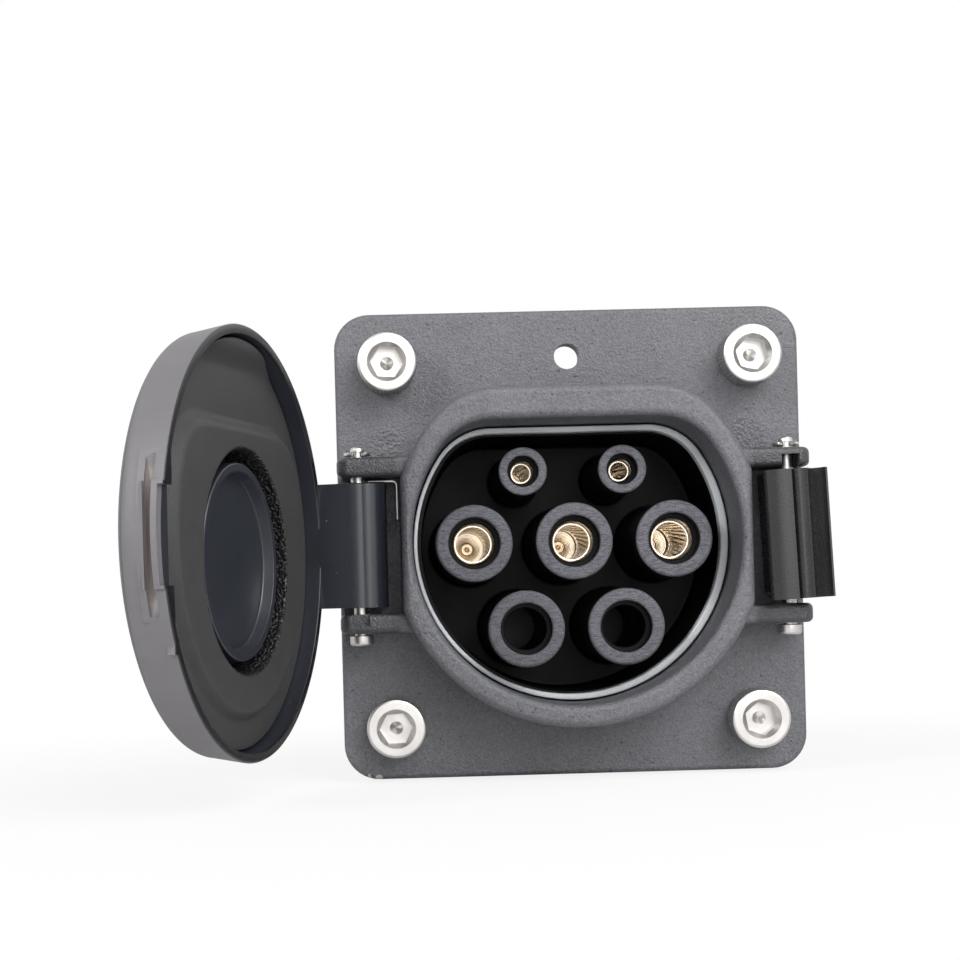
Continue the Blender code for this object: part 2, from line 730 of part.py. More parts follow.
def small_screw(name, place, head_y, length, parent, steel):
    """Pan-head screw driven from behind, with a cross-wide slot recess."""
    radius = SMALL_HEAD / 2
    shank = SMALL_SCREW / 2
    screw = turned(
        name,
        [
            (shank * 0.6, head_y - length),
            (shank, head_y - length + shank * 0.4),
            (shank, head_y),
            (radius, head_y),
            (radius, head_y + SMALL_HEAD_HEIGHT * 0.5),
            (radius * 0.7, head_y + SMALL_HEAD_HEIGHT),
        ],
        SMALL_STEPS,
        parent,
        steel,
        place=place,
    )
    wide = SMALL_HEAD * 0.09
    long = SMALL_HEAD * 0.3
    cross = [(wide, wide), (wide, long), (-wide, long), (-wide, wide), (-long, wide), (-long, -wide)]
    cross += [(-wide, -wide), (-wide, -long), (wide, -long), (wide, -wide), (long, -wide), (long, wide)]
    cross = [(place[0] + x, place[1] + z) for x, z in cross]
    recess = loft(
        f"{name}_cutter",
        [
            at_y(cross, head_y + SMALL_HEAD_HEIGHT * 0.4),
            at_y(cross, head_y + SMALL_HEAD_HEIGHT * 2),
        ],
        parent,
    )
    cut(screw, recess)
    return screw


def hinge_pin(name, axis, steel):
    """Headed pin, grooved near its tip for the clip."""
    end = LUG_INNER + LUG_THICK
    groove = end + FIT
    radius = PIN_SIZE / 2
    return upright(
        name,
        [
            (PIN_HEAD / 2 * 0.9, -end - FIT - PIN_HEAD_THICK),
            (PIN_HEAD / 2, -end - FIT - PIN_HEAD_THICK * 0.8),
            (PIN_HEAD / 2, -end - FIT),
            (radius, -end - FIT),
            (radius, groove),
            (radius - PIN_GROOVE, groove),
            (radius - PIN_GROOVE, groove + CLIP_THICK + FIT),
            (radius, groove + CLIP_THICK + FIT),
            (radius, end + PIN_TIP * 0.8),
            (radius * 0.6, end + PIN_TIP),
        ],
        FINE_STEPS,
        axis,
        steel,
    )


def pin_clip(name, axis, steel):
    """Open retaining clip round the pin's groove."""
    low = LUG_INNER + LUG_THICK + FIT + FIT / 2
    inner = PIN_SIZE / 2 - PIN_GROOVE + FIT / 2
    open_half = 40 * deg
    start = -90 * deg + open_half
    end = 270 * deg - open_half
    outline = arc(0, 0, CLIP_SIZE / 2, start, end, FINE_STEPS)
    outline += arc(0, 0, inner, end, start, FINE_STEPS)
    return loft(name, [at_z(outline, low), at_z(outline, low + CLIP_THICK)], axis, steel)


def tube_along(name, path, radius, sides, parent, finish):
    """Round wire along a list of points, with its section carried on without twist."""
    path = [Vector(point) for point in path]
    tangents = []
    for i in range(len(path)):
        before = path[max(i - 1, 0)]
        after = path[min(i + 1, len(path) - 1)]
        tangents.append((after - before).normalized())
    normal = tangents[0].orthogonal().normalized()
    rings = []
    for point, tangent in zip(path, tangents):
        normal = (normal - tangent * normal.dot(tangent)).normalized()
        across = tangent.cross(normal)
        ring = []
        for k in range(sides):
            angle = 2 * math.pi * k / sides
            ring.append(point + radius * (math.cos(angle) * normal + math.sin(angle) * across))
        rings.append(ring)
    return loft(name, rings, parent, finish)


def coil_points(top, downward):
    """Points of a close coil about the pin, starting at its outer end."""
    points = []
    for i in range(COIL_TURNS * COIL_STEPS + 1):
        angle = 2 * math.pi * i / COIL_STEPS
        z = top - downward * COIL_PITCH * i / COIL_STEPS
        points.append((COIL_RADIUS * math.cos(angle), COIL_RADIUS * math.sin(angle), z))
    return points


def lid_spring(axis, steel):
    """Torsion spring: coil in the barrel's top, one leg over to the collar and down beside it."""
    top = LUG_INNER - WIRE / 2 - FIT
    coil = coil_points(top, 1)
    reach = PIN_X - COLLAR_SIDE_FLAT - WIRE / 2 - FIT
    leg = [
        (reach, 0.0, top - LEG_DROP),
        (reach, 0.0, top - WIRE * 1.4),
        (reach - WIRE * 0.4, 0.0, top - WIRE * 0.4),
        (reach - WIRE * 1.4, 0.0, top),
    ]
    return tube_along("lid_spring", leg + coil, WIRE / 2, WIRE_SIDES, axis, steel)


def latch_spring(axis, steel):
    """Torsion spring in the lever's lower end, with a leg that bears on the plate."""
    bottom = -(LATCH_HALF - WIRE / 2 - FIT)
    coil = coil_points(bottom, -1)
    coil = [(-x, y, z) for x, y, z in coil]
    reach = PIN_OUT - WIRE / 2 - FIT
    leg = [(-COIL_RADIUS * 1.3, reach, bottom), (-COIL_RADIUS * 1.15, reach * 0.6, bottom)]
    return tube_along("latch_spring", leg + coil, WIRE / 2, WIRE_SIDES, axis, steel)


def lid_shell(axis, lid, finish):
    """Moulded cap with its skirt, boss, hinge tab and barrel, and the pocket that the latch grips.

    lid is an empty at the middle contact's axis while the lid is shut; axis is on the hinge pin.
    """
    front = FACE - COLLAR_PROUD
    rim = front + LID_OVERLAP
    foam_face = front - FIT + FOAM_GROOVE
    inner_face = foam_face - FOAM_THICK - FIT
    outer_face = inner_face - LID_TOP
    inner = LID_RADIUS - LID_WALL
    edge = LID_EDGE
    shell = turned(
        "lid_shell",
        [
            (inner - LID_DRAFT, inner_face),
            (inner, rim - FIT),
            (inner + FIT, rim),
            (LID_RADIUS - FIT, rim),
            (LID_RADIUS, rim - FIT),
            (LID_RADIUS - LID_DRAFT, outer_face + edge),
            (LID_RADIUS - LID_DRAFT - edge * 0.3, outer_face + edge * 0.3),
            (LID_RADIUS - LID_DRAFT - edge, outer_face),
        ],
        LID_STEPS,
        lid,
        finish,
    )
    boss_radius = FOAM_HOLE_RADIUS - BOSS_GAP
    boss_top = inner_face + BOSS_PROUD
    boss = turned(
        "lid_boss_form",
        [
            (boss_radius, inner_face - LID_TOP / 2),
            (boss_radius, boss_top - FIT),
            (boss_radius - FIT, boss_top),
            (boss_radius - BOSS_RIM, boss_top),
            (boss_radius - BOSS_RIM - FIT, boss_top - BOSS_DISH),
        ],
        LID_STEPS // 2,
        lid,
        place=(0, -FOAM_DROP),
    )
    add(shell, boss)

    # The tab runs from the skirt down to the barrel, outside the collar's flat.
    tab_in = -(COLLAR_SIDE_FLAT + (PIN_X - BARREL_RADIUS - COLLAR_SIDE_FLAT) * 0.6)
    tab_out = tab_in - TAB_THICK
    pin_y = FACE - PIN_OUT
    tab_outline = [
        (tab_in, pin_y),
        (tab_in, inner_face + LID_TOP),
        (tab_out - TAB_THICK * 0.6, inner_face + LID_TOP),
        (tab_out - TAB_THICK * 0.6, pin_y - BARREL_RADIUS * 1.2),
        (-PIN_X, pin_y - BARREL_RADIUS * 0.98),
        (-PIN_X, pin_y),
    ]
    tab = loft("tab_form", [at_z(tab_outline, -BARREL_HALF), at_z(tab_outline, BARREL_HALF)], lid)
    barrel = upright(
        "barrel_form", [(BARREL_RADIUS, -BARREL_HALF), (BARREL_RADIUS, BARREL_HALF)], SHROUD_STEPS, axis
    )
    down = Matrix.Rotation(LID_OPEN, 4, "Z")
    shift = down @ Vector((KNUCKLE_SHIFT, 0, 0))
    section = circle(BARREL_RADIUS, SHROUD_STEPS, shift.x, shift.y)
    knuckle = loft("knuckle_form", [at_z(section, -BARREL_HALF), at_z(section, BARREL_HALF)], axis)
    # The heel meets the plate when the lid is fully open.
    reach = PIN_OUT - FIT
    side = HEEL_WIDTH / 2
    heel_outline = [(-side, 0), (-side, reach), (side, reach), (side, 0)]
    heel_outline = [down @ Vector((x, y, 0)) for x, y in heel_outline]
    heel_outline = [(point.x, point.y) for point in heel_outline]
    half = BARREL_HALF * 0.8
    heel = loft("heel_form", [at_z(heel_outline, -half), at_z(heel_outline, half)], axis)
    add(shell, tab, barrel, knuckle, heel)

    # Pad inside the free side, then the slot and recess behind the rim bar that the hook holds.
    floor = LID_RADIUS - POCKET_DEPTH
    bar = rim - CATCH_NOTCH - CATCH_BAR
    pad_half = CATCH_HALF + LID_WALL / 2
    pad_low = (floor - CATCH_PAD, bar - POCKET_TALL - CATCH_PAD, -pad_half)
    pad = box("pad_form", pad_low, (inner + LID_WALL / 2, rim, pad_half), lid)
    within = LID_RADIUS - FIT
    limit = turned("pad_limit", [(within, rim + LID_WALL), (within, outer_face)], LID_STEPS, lid)
    combine(pad, limit, "INTERSECT")
    add(shell, pad)
    far = LID_RADIUS + LID_WALL
    notch_low = (inner - 2 * CATCH_PAD, rim - CATCH_NOTCH, -NOTCH_HALF)
    notch = box("notch_form", notch_low, (far, rim + LID_WALL, NOTCH_HALF), lid)
    slot = box("slot_form", (floor, bar - POCKET_TALL, -CATCH_HALF), (far, bar, CATCH_HALF), lid)
    near = LID_RADIUS - RELIEF_DEPTH
    recess = box("recess_form", (near, bar - RELIEF_TALL, -CATCH_HALF), (far, bar, CATCH_HALF), lid)
    bore_radius = PIN_SIZE / 2 + HINGE_PLAY
    reach = BARREL_HALF * 2
    bore = upright("lid_bore_cutter", [(bore_radius, -reach), (bore_radius, reach)], FINE_STEPS, axis)
    spring_room = COIL_RADIUS + WIRE / 2 + FIT
    nest_floor = LUG_INNER - WIRE - 2 * FIT - COIL_TURNS * COIL_PITCH
    nest = upright("spring_nest_cutter", [(spring_room, nest_floor), (spring_room, reach)], FINE_STEPS, axis)
    cut(shell, notch, slot, recess, bore, nest)
    return shell


def lid_foam(lid, finish):
    """Sealing pad glued in the lid: a round hole over the boss and a D-shaped groove for the collar.

    Its free side is cut straight, to leave room for the catch.
    """
    groove_floor = FACE - COLLAR_PROUD - FIT
    face = groove_floor + FOAM_GROOVE
    back = face - FOAM_THICK
    steps = LID_STEPS // 2
    foam = turned("lid_foam", [(FOAM_RADIUS, face), (FOAM_RADIUS, back)], steps, lid, finish)

    def groove_ring(radius, flat, corner, grow, y):
        return at_y(dee(radius + grow, flat + grow, corner + grow), y)

    outside = (COLLAR_RADIUS, COLLAR_FLAT, COLLAR_CORNER, GROOVE_ROOM)
    inside = (BORE_RADIUS, BORE_FLAT, BORE_CORNER, -GROOVE_ROOM)
    above = face + FOAM_GROOVE
    rings = [groove_ring(*outside, groove_floor), groove_ring(*outside, above)]
    rings += [groove_ring(*inside, above), groove_ring(*inside, groove_floor)]
    groove = loft("foam_groove_cutter", rings, lid, loop=True)
    ends = [(FOAM_HOLE_RADIUS, back - LID_TOP), (FOAM_HOLE_RADIUS, above)]
    hole = turned("foam_hole_cutter", ends, steps, lid, place=(0, -FOAM_DROP))
    pad_side = LID_RADIUS - POCKET_DEPTH - CATCH_PAD - FIT
    half = CATCH_HALF + LID_WALL / 2 + FIT
    room = box("foam_side_cutter", (pad_side, back - LID_TOP, -half), (LID_RADIUS, above, half), lid)
    cut(foam, groove, hole, room)
    return foam


def latch_lever(tilted, finish):
    """Lever with a hook towards the collar, a barrel on the pin and a flared thumb wing.

    The outline is drawn from the pin axis: x to the right, out towards the front.
    """
    rim_out = COLLAR_PROUD - LID_OVERLAP - PIN_OUT
    hook = rim_out + CATCH_NOTCH + CATCH_BAR + HOOK_GAP
    lean = LATCH_HALF * math.sin(LATCH_COCK)
    tip = LID_RADIUS - POCKET_DEPTH + FIT + lean - PIN_X
    shoulder = LID_RADIUS - RELIEF_DEPTH + FIT + lean - PIN_X
    arm = LID_RADIUS + FIT + lean - PIN_X
    crest = hook + NOSE_THICK + RAMP_RISE
    foot = PIN_OUT - FIT
    nose = [(tip, hook), (tip, hook + NOSE_THICK)]
    ramp = [
        (CREASE_X + (shoulder - CREASE_X) * x, crest - RAMP_RISE * 0.85 * (1 - z))
        for x, z in arc(0, 0, 1.0, 0, 90 * deg, ARC_STEPS)
    ]
    bump = arc(BUMP_X, crest - 1.3 * BUMP_RADIUS, BUMP_RADIUS, 140 * deg, 40 * deg, ARC_STEPS)
    wing = [
        (VALLEY_X, VALLEY_OUT),
        ((VALLEY_X + WING_REACH) / 2, (VALLEY_OUT + WING_OUT) / 2 - WING_THICK * 0.1),
        (WING_REACH - WING_THICK * 0.2, WING_OUT),
        (WING_REACH, WING_OUT - WING_THICK * 0.25),
        (WING_REACH - WING_THICK * 0.2, WING_OUT - WING_THICK),
        (VALLEY_X, VALLEY_OUT - WING_THICK),
    ]
    below = arc(0, 0, LATCH_BARREL, 40 * deg, -105 * deg, ARC_STEPS)
    back = -LATCH_BARREL
    stop = [(back * 0.6, -foot), (back * 1.1, -foot), (back, back * 0.3)]
    inside = [(back, LATCH_BARREL * 0.5), (arm, rim_out - FIT), (arm, hook)]
    outline = nose + ramp + bump + wing + below + stop + inside
    outline = [(x, -out) for x, out in outline]
    lever = loft("latch_lever", [at_z(outline, -LATCH_HALF), at_z(outline, LATCH_HALF)], tilted, finish)
    radius = PIN_SIZE / 2 + LATCH_PLAY
    reach = LATCH_HALF * 2
    bore = upright("latch_bore_cutter", [(radius, -reach), (radius, reach)], FINE_STEPS, tilted)
    spring_room = COIL_RADIUS + WIRE / 2 + FIT / 2 + LATCH_HALF * math.sin(LATCH_COCK)
    depth = WIRE + COIL_TURNS * COIL_PITCH + 2 * FIT
    nest = upright(
        "latch_nest_cutter", [(spring_room, -reach), (spring_room, depth - LATCH_HALF)], FINE_STEPS, tilted
    )
    # Relief under the back half, where the spring's leg runs to the plate.
    relief_top = 3 * FIT + WIRE - LATCH_HALF
    wide = LATCH_BARREL * 2
    outline = [(-wide, FIT), (wide, FIT), (wide, wide), (-wide, wide)]
    relief = loft("latch_relief_cutter", [at_z(outline, -reach), at_z(outline, relief_top)], tilted)
    cut(lever, bore, nest, relief)
    return lever


def build():
    clear_scene()
    coat = material("powder_coat", (0.045, 0.046, 0.05), 0.5, 0.0)
    black_plastic = material("black_plastic", (0.012, 0.012, 0.013), 0.4)
    lid_plastic = material("lid_plastic", (0.05, 0.05, 0.056), 0.38)
    grey_rubber = material("grey_rubber", (0.42, 0.42, 0.43), 0.6)
    foam = material("foam", (0.06, 0.058, 0.055), 0.95)
    brass = material("brass", (0.72, 0.55, 0.33), 0.3, 1.0)
    steel = material("stainless_steel", (0.68, 0.67, 0.66), 0.28, 1.0)

    model = empty("model_frame", (0, 0, SCREW_SPACING / 2))
    front_plate(model, coat)
    socket_body(model, black_plastic)
    socket_floor(model, black_plastic)
    for key, place in POWER_PLACES.items():
        sizes = (POWER_SHROUD, POWER_MOUTH, POWER_LIP, POWER_BODY, SHROUD_STEPS)
        shroud(f"shroud_{key}", place, *sizes, model, black_plastic)
    for key, place in SIGNAL_PLACES.items():
        sizes = (SIGNAL_SHROUD, SIGNAL_MOUTH, SIGNAL_LIP, SIGNAL_BODY, FINE_STEPS)
        shroud(f"shroud_{key}", place, *sizes, model, black_plastic)
    seal_ring(model, grey_rubber)
    retainer(model, black_plastic)
    for key in FITTED_POWER:
        place = POWER_PLACES[key]
        contact(f"contact_{key}", place, POWER_PIN, POWER_BODY, POWER_CRIMP, BORE_STEPS, model, brass)
        contact_cage(f"contact_cage_{key}", place, POWER_PIN, POWER_BLADES, model, brass)
    for key, place in SIGNAL_PLACES.items():
        contact(f"contact_{key}", place, SIGNAL_PIN, SIGNAL_BODY, SIGNAL_CRIMP, SMALL_STEPS, model, brass)
        contact_cage(f"contact_cage_{key}", place, SIGNAL_PIN, SIGNAL_BLADES, model, brass)

    corner = SCREW_SPACING / 2
    corners = {"upper_left": (-1, 1), "upper_right": (1, 1), "lower_left": (-1, -1), "lower_right": (1, -1)}
    for where, (sx, sz) in corners.items():
        cap_screw(f"cap_screw_{where}", (sx * corner, sz * corner), model, steel)
    flange_back = SKIRT_LENGTH + FIT + REAR_FLANGE_THICK
    for i, place in enumerate(EAR_PLACES):
        small_screw(f"body_screw_{i + 1}", place, flange_back + FIT, 8.0 * mm, model, steel)
    for i, place in enumerate(POST_PLACES):
        head_y = RETAINER_Y + RETAINER_THICK + FIT
        small_screw(f"retainer_screw_{i + 1}", place, head_y, 9.0 * mm, model, steel)

    hinge_axis = empty("hinge_axis", (-PIN_X, FACE - PIN_OUT, 0), model)
    hinge_pin("hinge_pin", hinge_axis, steel)
    pin_clip("hinge_pin_clip", hinge_axis, steel)
    lid_spring(hinge_axis, steel)
    lid_axis = empty("lid_axis", (0, 0, 0), hinge_axis)
    lid_axis.rotation_euler = (0, 0, -LID_OPEN)
    lid_centre = empty("lid_centre", (PIN_X, PIN_OUT - FACE, 0), lid_axis)
    lid_shell(lid_axis, lid_centre, lid_plastic)
    lid_foam(lid_centre, foam)

    latch_axis = empty("latch_axis", (PIN_X, FACE - PIN_OUT, 0), model)
    hinge_pin("latch_pin", latch_axis, steel)
    pin_clip("latch_pin_clip", latch_axis, steel)
    latch_spring(latch_axis, steel)
    latch_tilt = empty("latch_tilt", (0, 0, 0), latch_axis)
    latch_tilt.rotation_euler = (0, -LATCH_COCK, 0)
    latch_lever(latch_tilt, black_plastic)


build()
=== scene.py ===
import math

import bmesh
import bpy
from mathutils import Matrix, Vector


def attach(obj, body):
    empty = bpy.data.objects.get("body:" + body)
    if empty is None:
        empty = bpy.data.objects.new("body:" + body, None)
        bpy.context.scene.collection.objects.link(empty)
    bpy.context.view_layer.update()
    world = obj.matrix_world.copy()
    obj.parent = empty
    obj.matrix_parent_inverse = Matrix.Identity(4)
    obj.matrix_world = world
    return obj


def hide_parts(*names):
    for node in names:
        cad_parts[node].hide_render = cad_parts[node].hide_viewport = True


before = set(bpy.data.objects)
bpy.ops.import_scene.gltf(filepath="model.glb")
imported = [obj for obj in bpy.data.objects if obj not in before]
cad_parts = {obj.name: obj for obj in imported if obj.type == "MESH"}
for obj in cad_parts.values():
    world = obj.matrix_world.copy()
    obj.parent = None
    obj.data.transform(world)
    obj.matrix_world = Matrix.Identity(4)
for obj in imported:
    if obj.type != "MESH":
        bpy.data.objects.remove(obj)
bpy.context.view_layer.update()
print("frame loaded")

# Every shape below is drawn in millimetres about the earth contact's axis, with y = 0 on the
# plate's back face and the front towards -y. A space then puts it in the frame, in metres.
millimetre = 0.001
degree = math.pi / 180
earthAxisHeight = 31.0
pinPlace = {"x": 36.4, "y": -9.0}
lidOpen = 107.0
latchCock = 2.4  # the lever sits crooked on its loose pin
fit = 0.3  # between pieces that touch


def shift(x, y, z):
    return Matrix.Translation(Vector((x, y, z)) * millimetre)


home = shift(0, 0, earthAxisHeight)
hingeSpace = home @ shift(-pinPlace["x"], pinPlace["y"], 0)
latchPinSpace = home @ shift(pinPlace["x"], pinPlace["y"], 0)
lidSpace = hingeSpace @ Matrix.Rotation(-lidOpen * degree, 4, "Z") @ shift(pinPlace["x"], -pinPlace["y"], 0)
latchSpace = latchPinSpace @ Matrix.Rotation(-latchCock * degree, 4, "Y")


class Sock:
    # One output socket in an expression: its operators add Math nodes.
    def __init__(self, paint, out):
        self.paint = paint
        self.out = out

    def math(self, operation, *values):
        return self.paint.node("ShaderNodeMath", {"operation": operation}, dict(enumerate(values)))

    def __add__(self, other):
        return self.math("ADD", self, other)

    def __radd__(self, other):
        return self.math("ADD", other, self)

    def __sub__(self, other):
        return self.math("SUBTRACT", self, other)

    def __rsub__(self, other):
        return self.math("SUBTRACT", other, self)

    def __mul__(self, other):
        return self.math("MULTIPLY", self, other)

    def __rmul__(self, other):
        return self.math("MULTIPLY", other, self)

    def __truediv__(self, other):
        return self.math("DIVIDE", self, other)

    def __pow__(self, other):
        return self.math("POWER", self, other)

    def above(self, level, soft):
        # 0 below the level, 1 above it, with a soft step between
        values = {0: self, 1: level - soft, 2: level + soft}
        return self.paint.node("ShaderNodeMapRange", {"interpolation_type": "SMOOTHSTEP"}, values)

    def sine(self):
        return self.math("SINE", self)

    def larger(self, other):
        return self.math("MAXIMUM", self, other)


class Paint:
    # the nodes of one material or world
    def __init__(self, owner, **fixed):
        owner.use_nodes = True
        self.owner = owner
        self.tree = owner.node_tree
        self.shader = self.tree.nodes.get("Principled BSDF")
        for socket, value in fixed.items():
            self.shader.inputs[socket.replace("_", " ")].default_value = value

    def feed(self, socket, value):
        if isinstance(value, Sock):
            self.tree.links.new(value.out, socket)
        else:
            socket.default_value = value

    def node(self, kind, settings=None, values=None, out=0):
        made = self.tree.nodes.new(kind)
        for key, value in (settings or {}).items():
            setattr(made, key, value)
        for key, value in (values or {}).items():
            self.feed(made.inputs[key], value)
        return Sock(self, made.outputs[out])

    def place(self, stretch=(1.0, 1.0, 1.0), turn=0.0):
        # where a point lies on its own piece, in millimetres, turned back about Z if asked
        spot = self.node("ShaderNodeTexCoord", out="Object")
        if turn:
            values = {"Vector": spot, "Angle": turn * degree}
            spot = self.node("ShaderNodeVectorRotate", {"rotation_type": "Z_AXIS"}, values)
        scale = tuple(s / millimetre for s in stretch)
        return self.node("ShaderNodeVectorMath", {"operation": "MULTIPLY"}, {0: spot, 1: scale})

    def axes(self, where):
        first = self.node("ShaderNodeSeparateXYZ", values={0: where})
        return [Sock(self, out) for out in first.out.node.outputs]

    def noise(self, where, size, detail=3.0, rough=0.55):
        values = {"Vector": where, "Scale": 1.0 / size, "Detail": detail, "Roughness": rough}
        return self.node("ShaderNodeTexNoise", values=values)

    def cells(self, where, size):
        values = {"Vector": where, "Scale": 1.0 / size}
        return self.node("ShaderNodeTexVoronoi", values=values, out="Distance")

    def blend(self, amount, first, second):
        settings = {"data_type": "RGBA"}
        return self.node("ShaderNodeMix", settings, {0: amount, 6: first, 7: second}, out=2)

    def distance(self, where, point):
        settings = {"operation": "DISTANCE"}
        return self.node("ShaderNodeVectorMath", settings, {0: where, 1: point}, out="Value")

    def bump(self, height, depth):
        return self.node("ShaderNodeBump", values={"Height": height, "Distance": depth * millimetre})

    def finish(self, **sockets):
        for socket, value in sockets.items():
            self.feed(self.shader.inputs[socket.replace("_", " ")], value)
        return self.owner


def newPaint(name, **fixed):
    return Paint(bpy.data.materials.new(name), **fixed)


def grey(level, blue=0.0):
    return (level, level, level + blue, 1.0)


def newPiece(name, bm):
    bmesh.ops.recalc_face_normals(bm, faces=bm.faces)
    mesh = bpy.data.meshes.new(name)
    bm.to_mesh(mesh)
    bm.free()
    piece = bpy.data.objects.new(name, mesh)
    bpy.context.scene.collection.objects.link(piece)
    return piece


def loft(name, rings, loop=False):
    # skin over rings of equal count, with flat ends unless it is a loop
    bm = bmesh.new()
    rows = [[bm.verts.new(point) for point in ring] for ring in rings]
    pairs = list(zip(rows, rows[1:]))
    if loop:
        pairs.append((rows[-1], rows[0]))
    for low, high in pairs:
        for i in range(len(low)):
            j = (i + 1) % len(low)
            bm.faces.new((low[i], low[j], high[j], high[i]))
    if not loop:
        bm.faces.new(rows[0])
        bm.faces.new(rows[-1])
    return newPiece(name, bm)


def arc(cx, cy, radius, start, end, steps):
    turns = [(start + (end - start) * i / steps) * degree for i in range(steps + 1)]
    return [(cx + radius * math.cos(turn), cy + radius * math.sin(turn)) for turn in turns]


def circle(radius, steps, cx=0.0, cy=0.0):
    return arc(cx, cy, radius, 0, 360, steps)[:-1]


def atY(outline, y):
    return [Vector((x, y, z)) for x, z in outline]


def atZ(outline, z):
    return [Vector((x, y, z)) for x, y in outline]


def turned(name, profile, steps, place=(0.0, 0.0)):
    # a profile of (radius, y) turned about an axis along Y
    return loft(name, [atY(circle(radius, steps, *place), y) for radius, y in profile])


def upright(name, profile, steps):
    # a profile of (radius, z) turned about Z
    return loft(name, [atZ(circle(radius, steps), z) for radius, z in profile])


def prism(name, outline, low, high):
    return loft(name, [atZ(outline, low), atZ(outline, high)])


def box(name, low, high):
    outline = [(low[0], low[1]), (high[0], low[1]), (high[0], high[1]), (low[0], high[1])]
    return prism(name, outline, low[2], high[2])


def dee(radius, flat, corner, side=None, fine=10):
    # a circle cut by a flat at the top, with round corners and, if asked, a flat at each side
    cornerZ = flat - corner
    cornerX = math.sqrt((radius - corner) ** 2 - cornerZ**2)
    meets = math.atan2(cornerZ, cornerX) / degree
    edge = math.acos(min(side / radius, 1.0)) / degree if side else 0.0
    right = arc(cornerX, cornerZ, corner, 90, meets, fine)
    right += arc(0, 0, radius, meets, edge, fine // 2)[1:]
    below = arc(0, 0, radius, -edge, -180 + edge, fine * 5)
    if not side:
        below = below[1:-1]
    return right + below + [(-x, z) for x, z in reversed(right)]


def roundedSquare(side, corner):
    half = side / 2 - corner
    points = []
    for i, (sx, sz) in enumerate(((1, 1), (-1, 1), (-1, -1), (1, -1))):
        points += arc(sx * half, sz * half, corner, i * 90, i * 90 + 90, 10)
    return points


def quarter(steps):
    return [math.pi / 2 * i / steps for i in range(steps + 1)]


def rounding(size, steps):
    # how far in and how far back each point of a rounded edge lies
    return [(size * (1 - math.cos(t)), size * (1 - math.sin(t))) for t in quarter(steps)]


def settle(piece):
    # turns the piece's modifiers into its mesh
    graph = bpy.context.evaluated_depsgraph_get()
    mesh = bpy.data.meshes.new_from_object(piece.evaluated_get(graph))
    piece.modifiers.clear()
    piece.data = mesh


def combine(piece, operation, tools):
    for tool in tools:
        modifier = piece.modifiers.new(tool.name, "BOOLEAN")
        modifier.object = tool
        modifier.operation = operation
        modifier.solver = "EXACT"
    settle(piece)
    for tool in tools:
        bpy.data.objects.remove(tool, do_unlink=True)
    return piece


def join(piece, *tools):
    return combine(piece, "UNION", tools)


def carve(piece, *tools):
    return combine(piece, "DIFFERENCE", tools)


def cleanUp(piece, reach):
    # merges points closer than the reach and drops faces that are thinner
    bm = bmesh.new()
    bm.from_mesh(piece.data)
    bmesh.ops.remove_doubles(bm, verts=bm.verts, dist=reach)
    bmesh.ops.dissolve_degenerate(bm, edges=bm.edges, dist=reach)
    bm.to_mesh(piece.data)
    bm.free()


def soften(piece, width, angle=30, segments=2, reach=0.004):
    cleanUp(piece, reach)
    modifier = piece.modifiers.new("edges", "BEVEL")
    modifier.width = width
    modifier.segments = segments
    modifier.limit_method = "ANGLE"
    modifier.angle_limit = angle * degree
    modifier.miter_outer = "MITER_ARC"
    settle(piece)
    cleanUp(piece, 0.0025)


def seat(piece, space, body, material, slotName, *nodes, sharp=38):
    # scales the piece to metres, puts it in its space, hangs it on its body and hides the frame's nodes it
    # replaces
    piece.data.transform(space.to_3x3().to_4x4() @ Matrix.Scale(millimetre, 4))
    piece.data.materials.clear()
    piece.data.materials.append(material)
    piece.data.shade_smooth()
    piece.data.set_sharp_from_angle(angle=sharp * degree)
    weighted = piece.modifiers.new("normals", "WEIGHTED_NORMAL")
    weighted.keep_sharp = True
    piece.matrix_world = Matrix.Translation(space.translation)
    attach(piece, body)
    if nodes:
        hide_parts(*nodes)
    return piece


def dusty(paint, where, color, size, reach, level=0.45):
    # tiny pale specks of dust; gives the color and where the specks are
    specks = 1 - paint.cells(where, size).above(reach, reach * 0.4)
    return paint.blend(specks * 0.75, color, grey(level)), specks


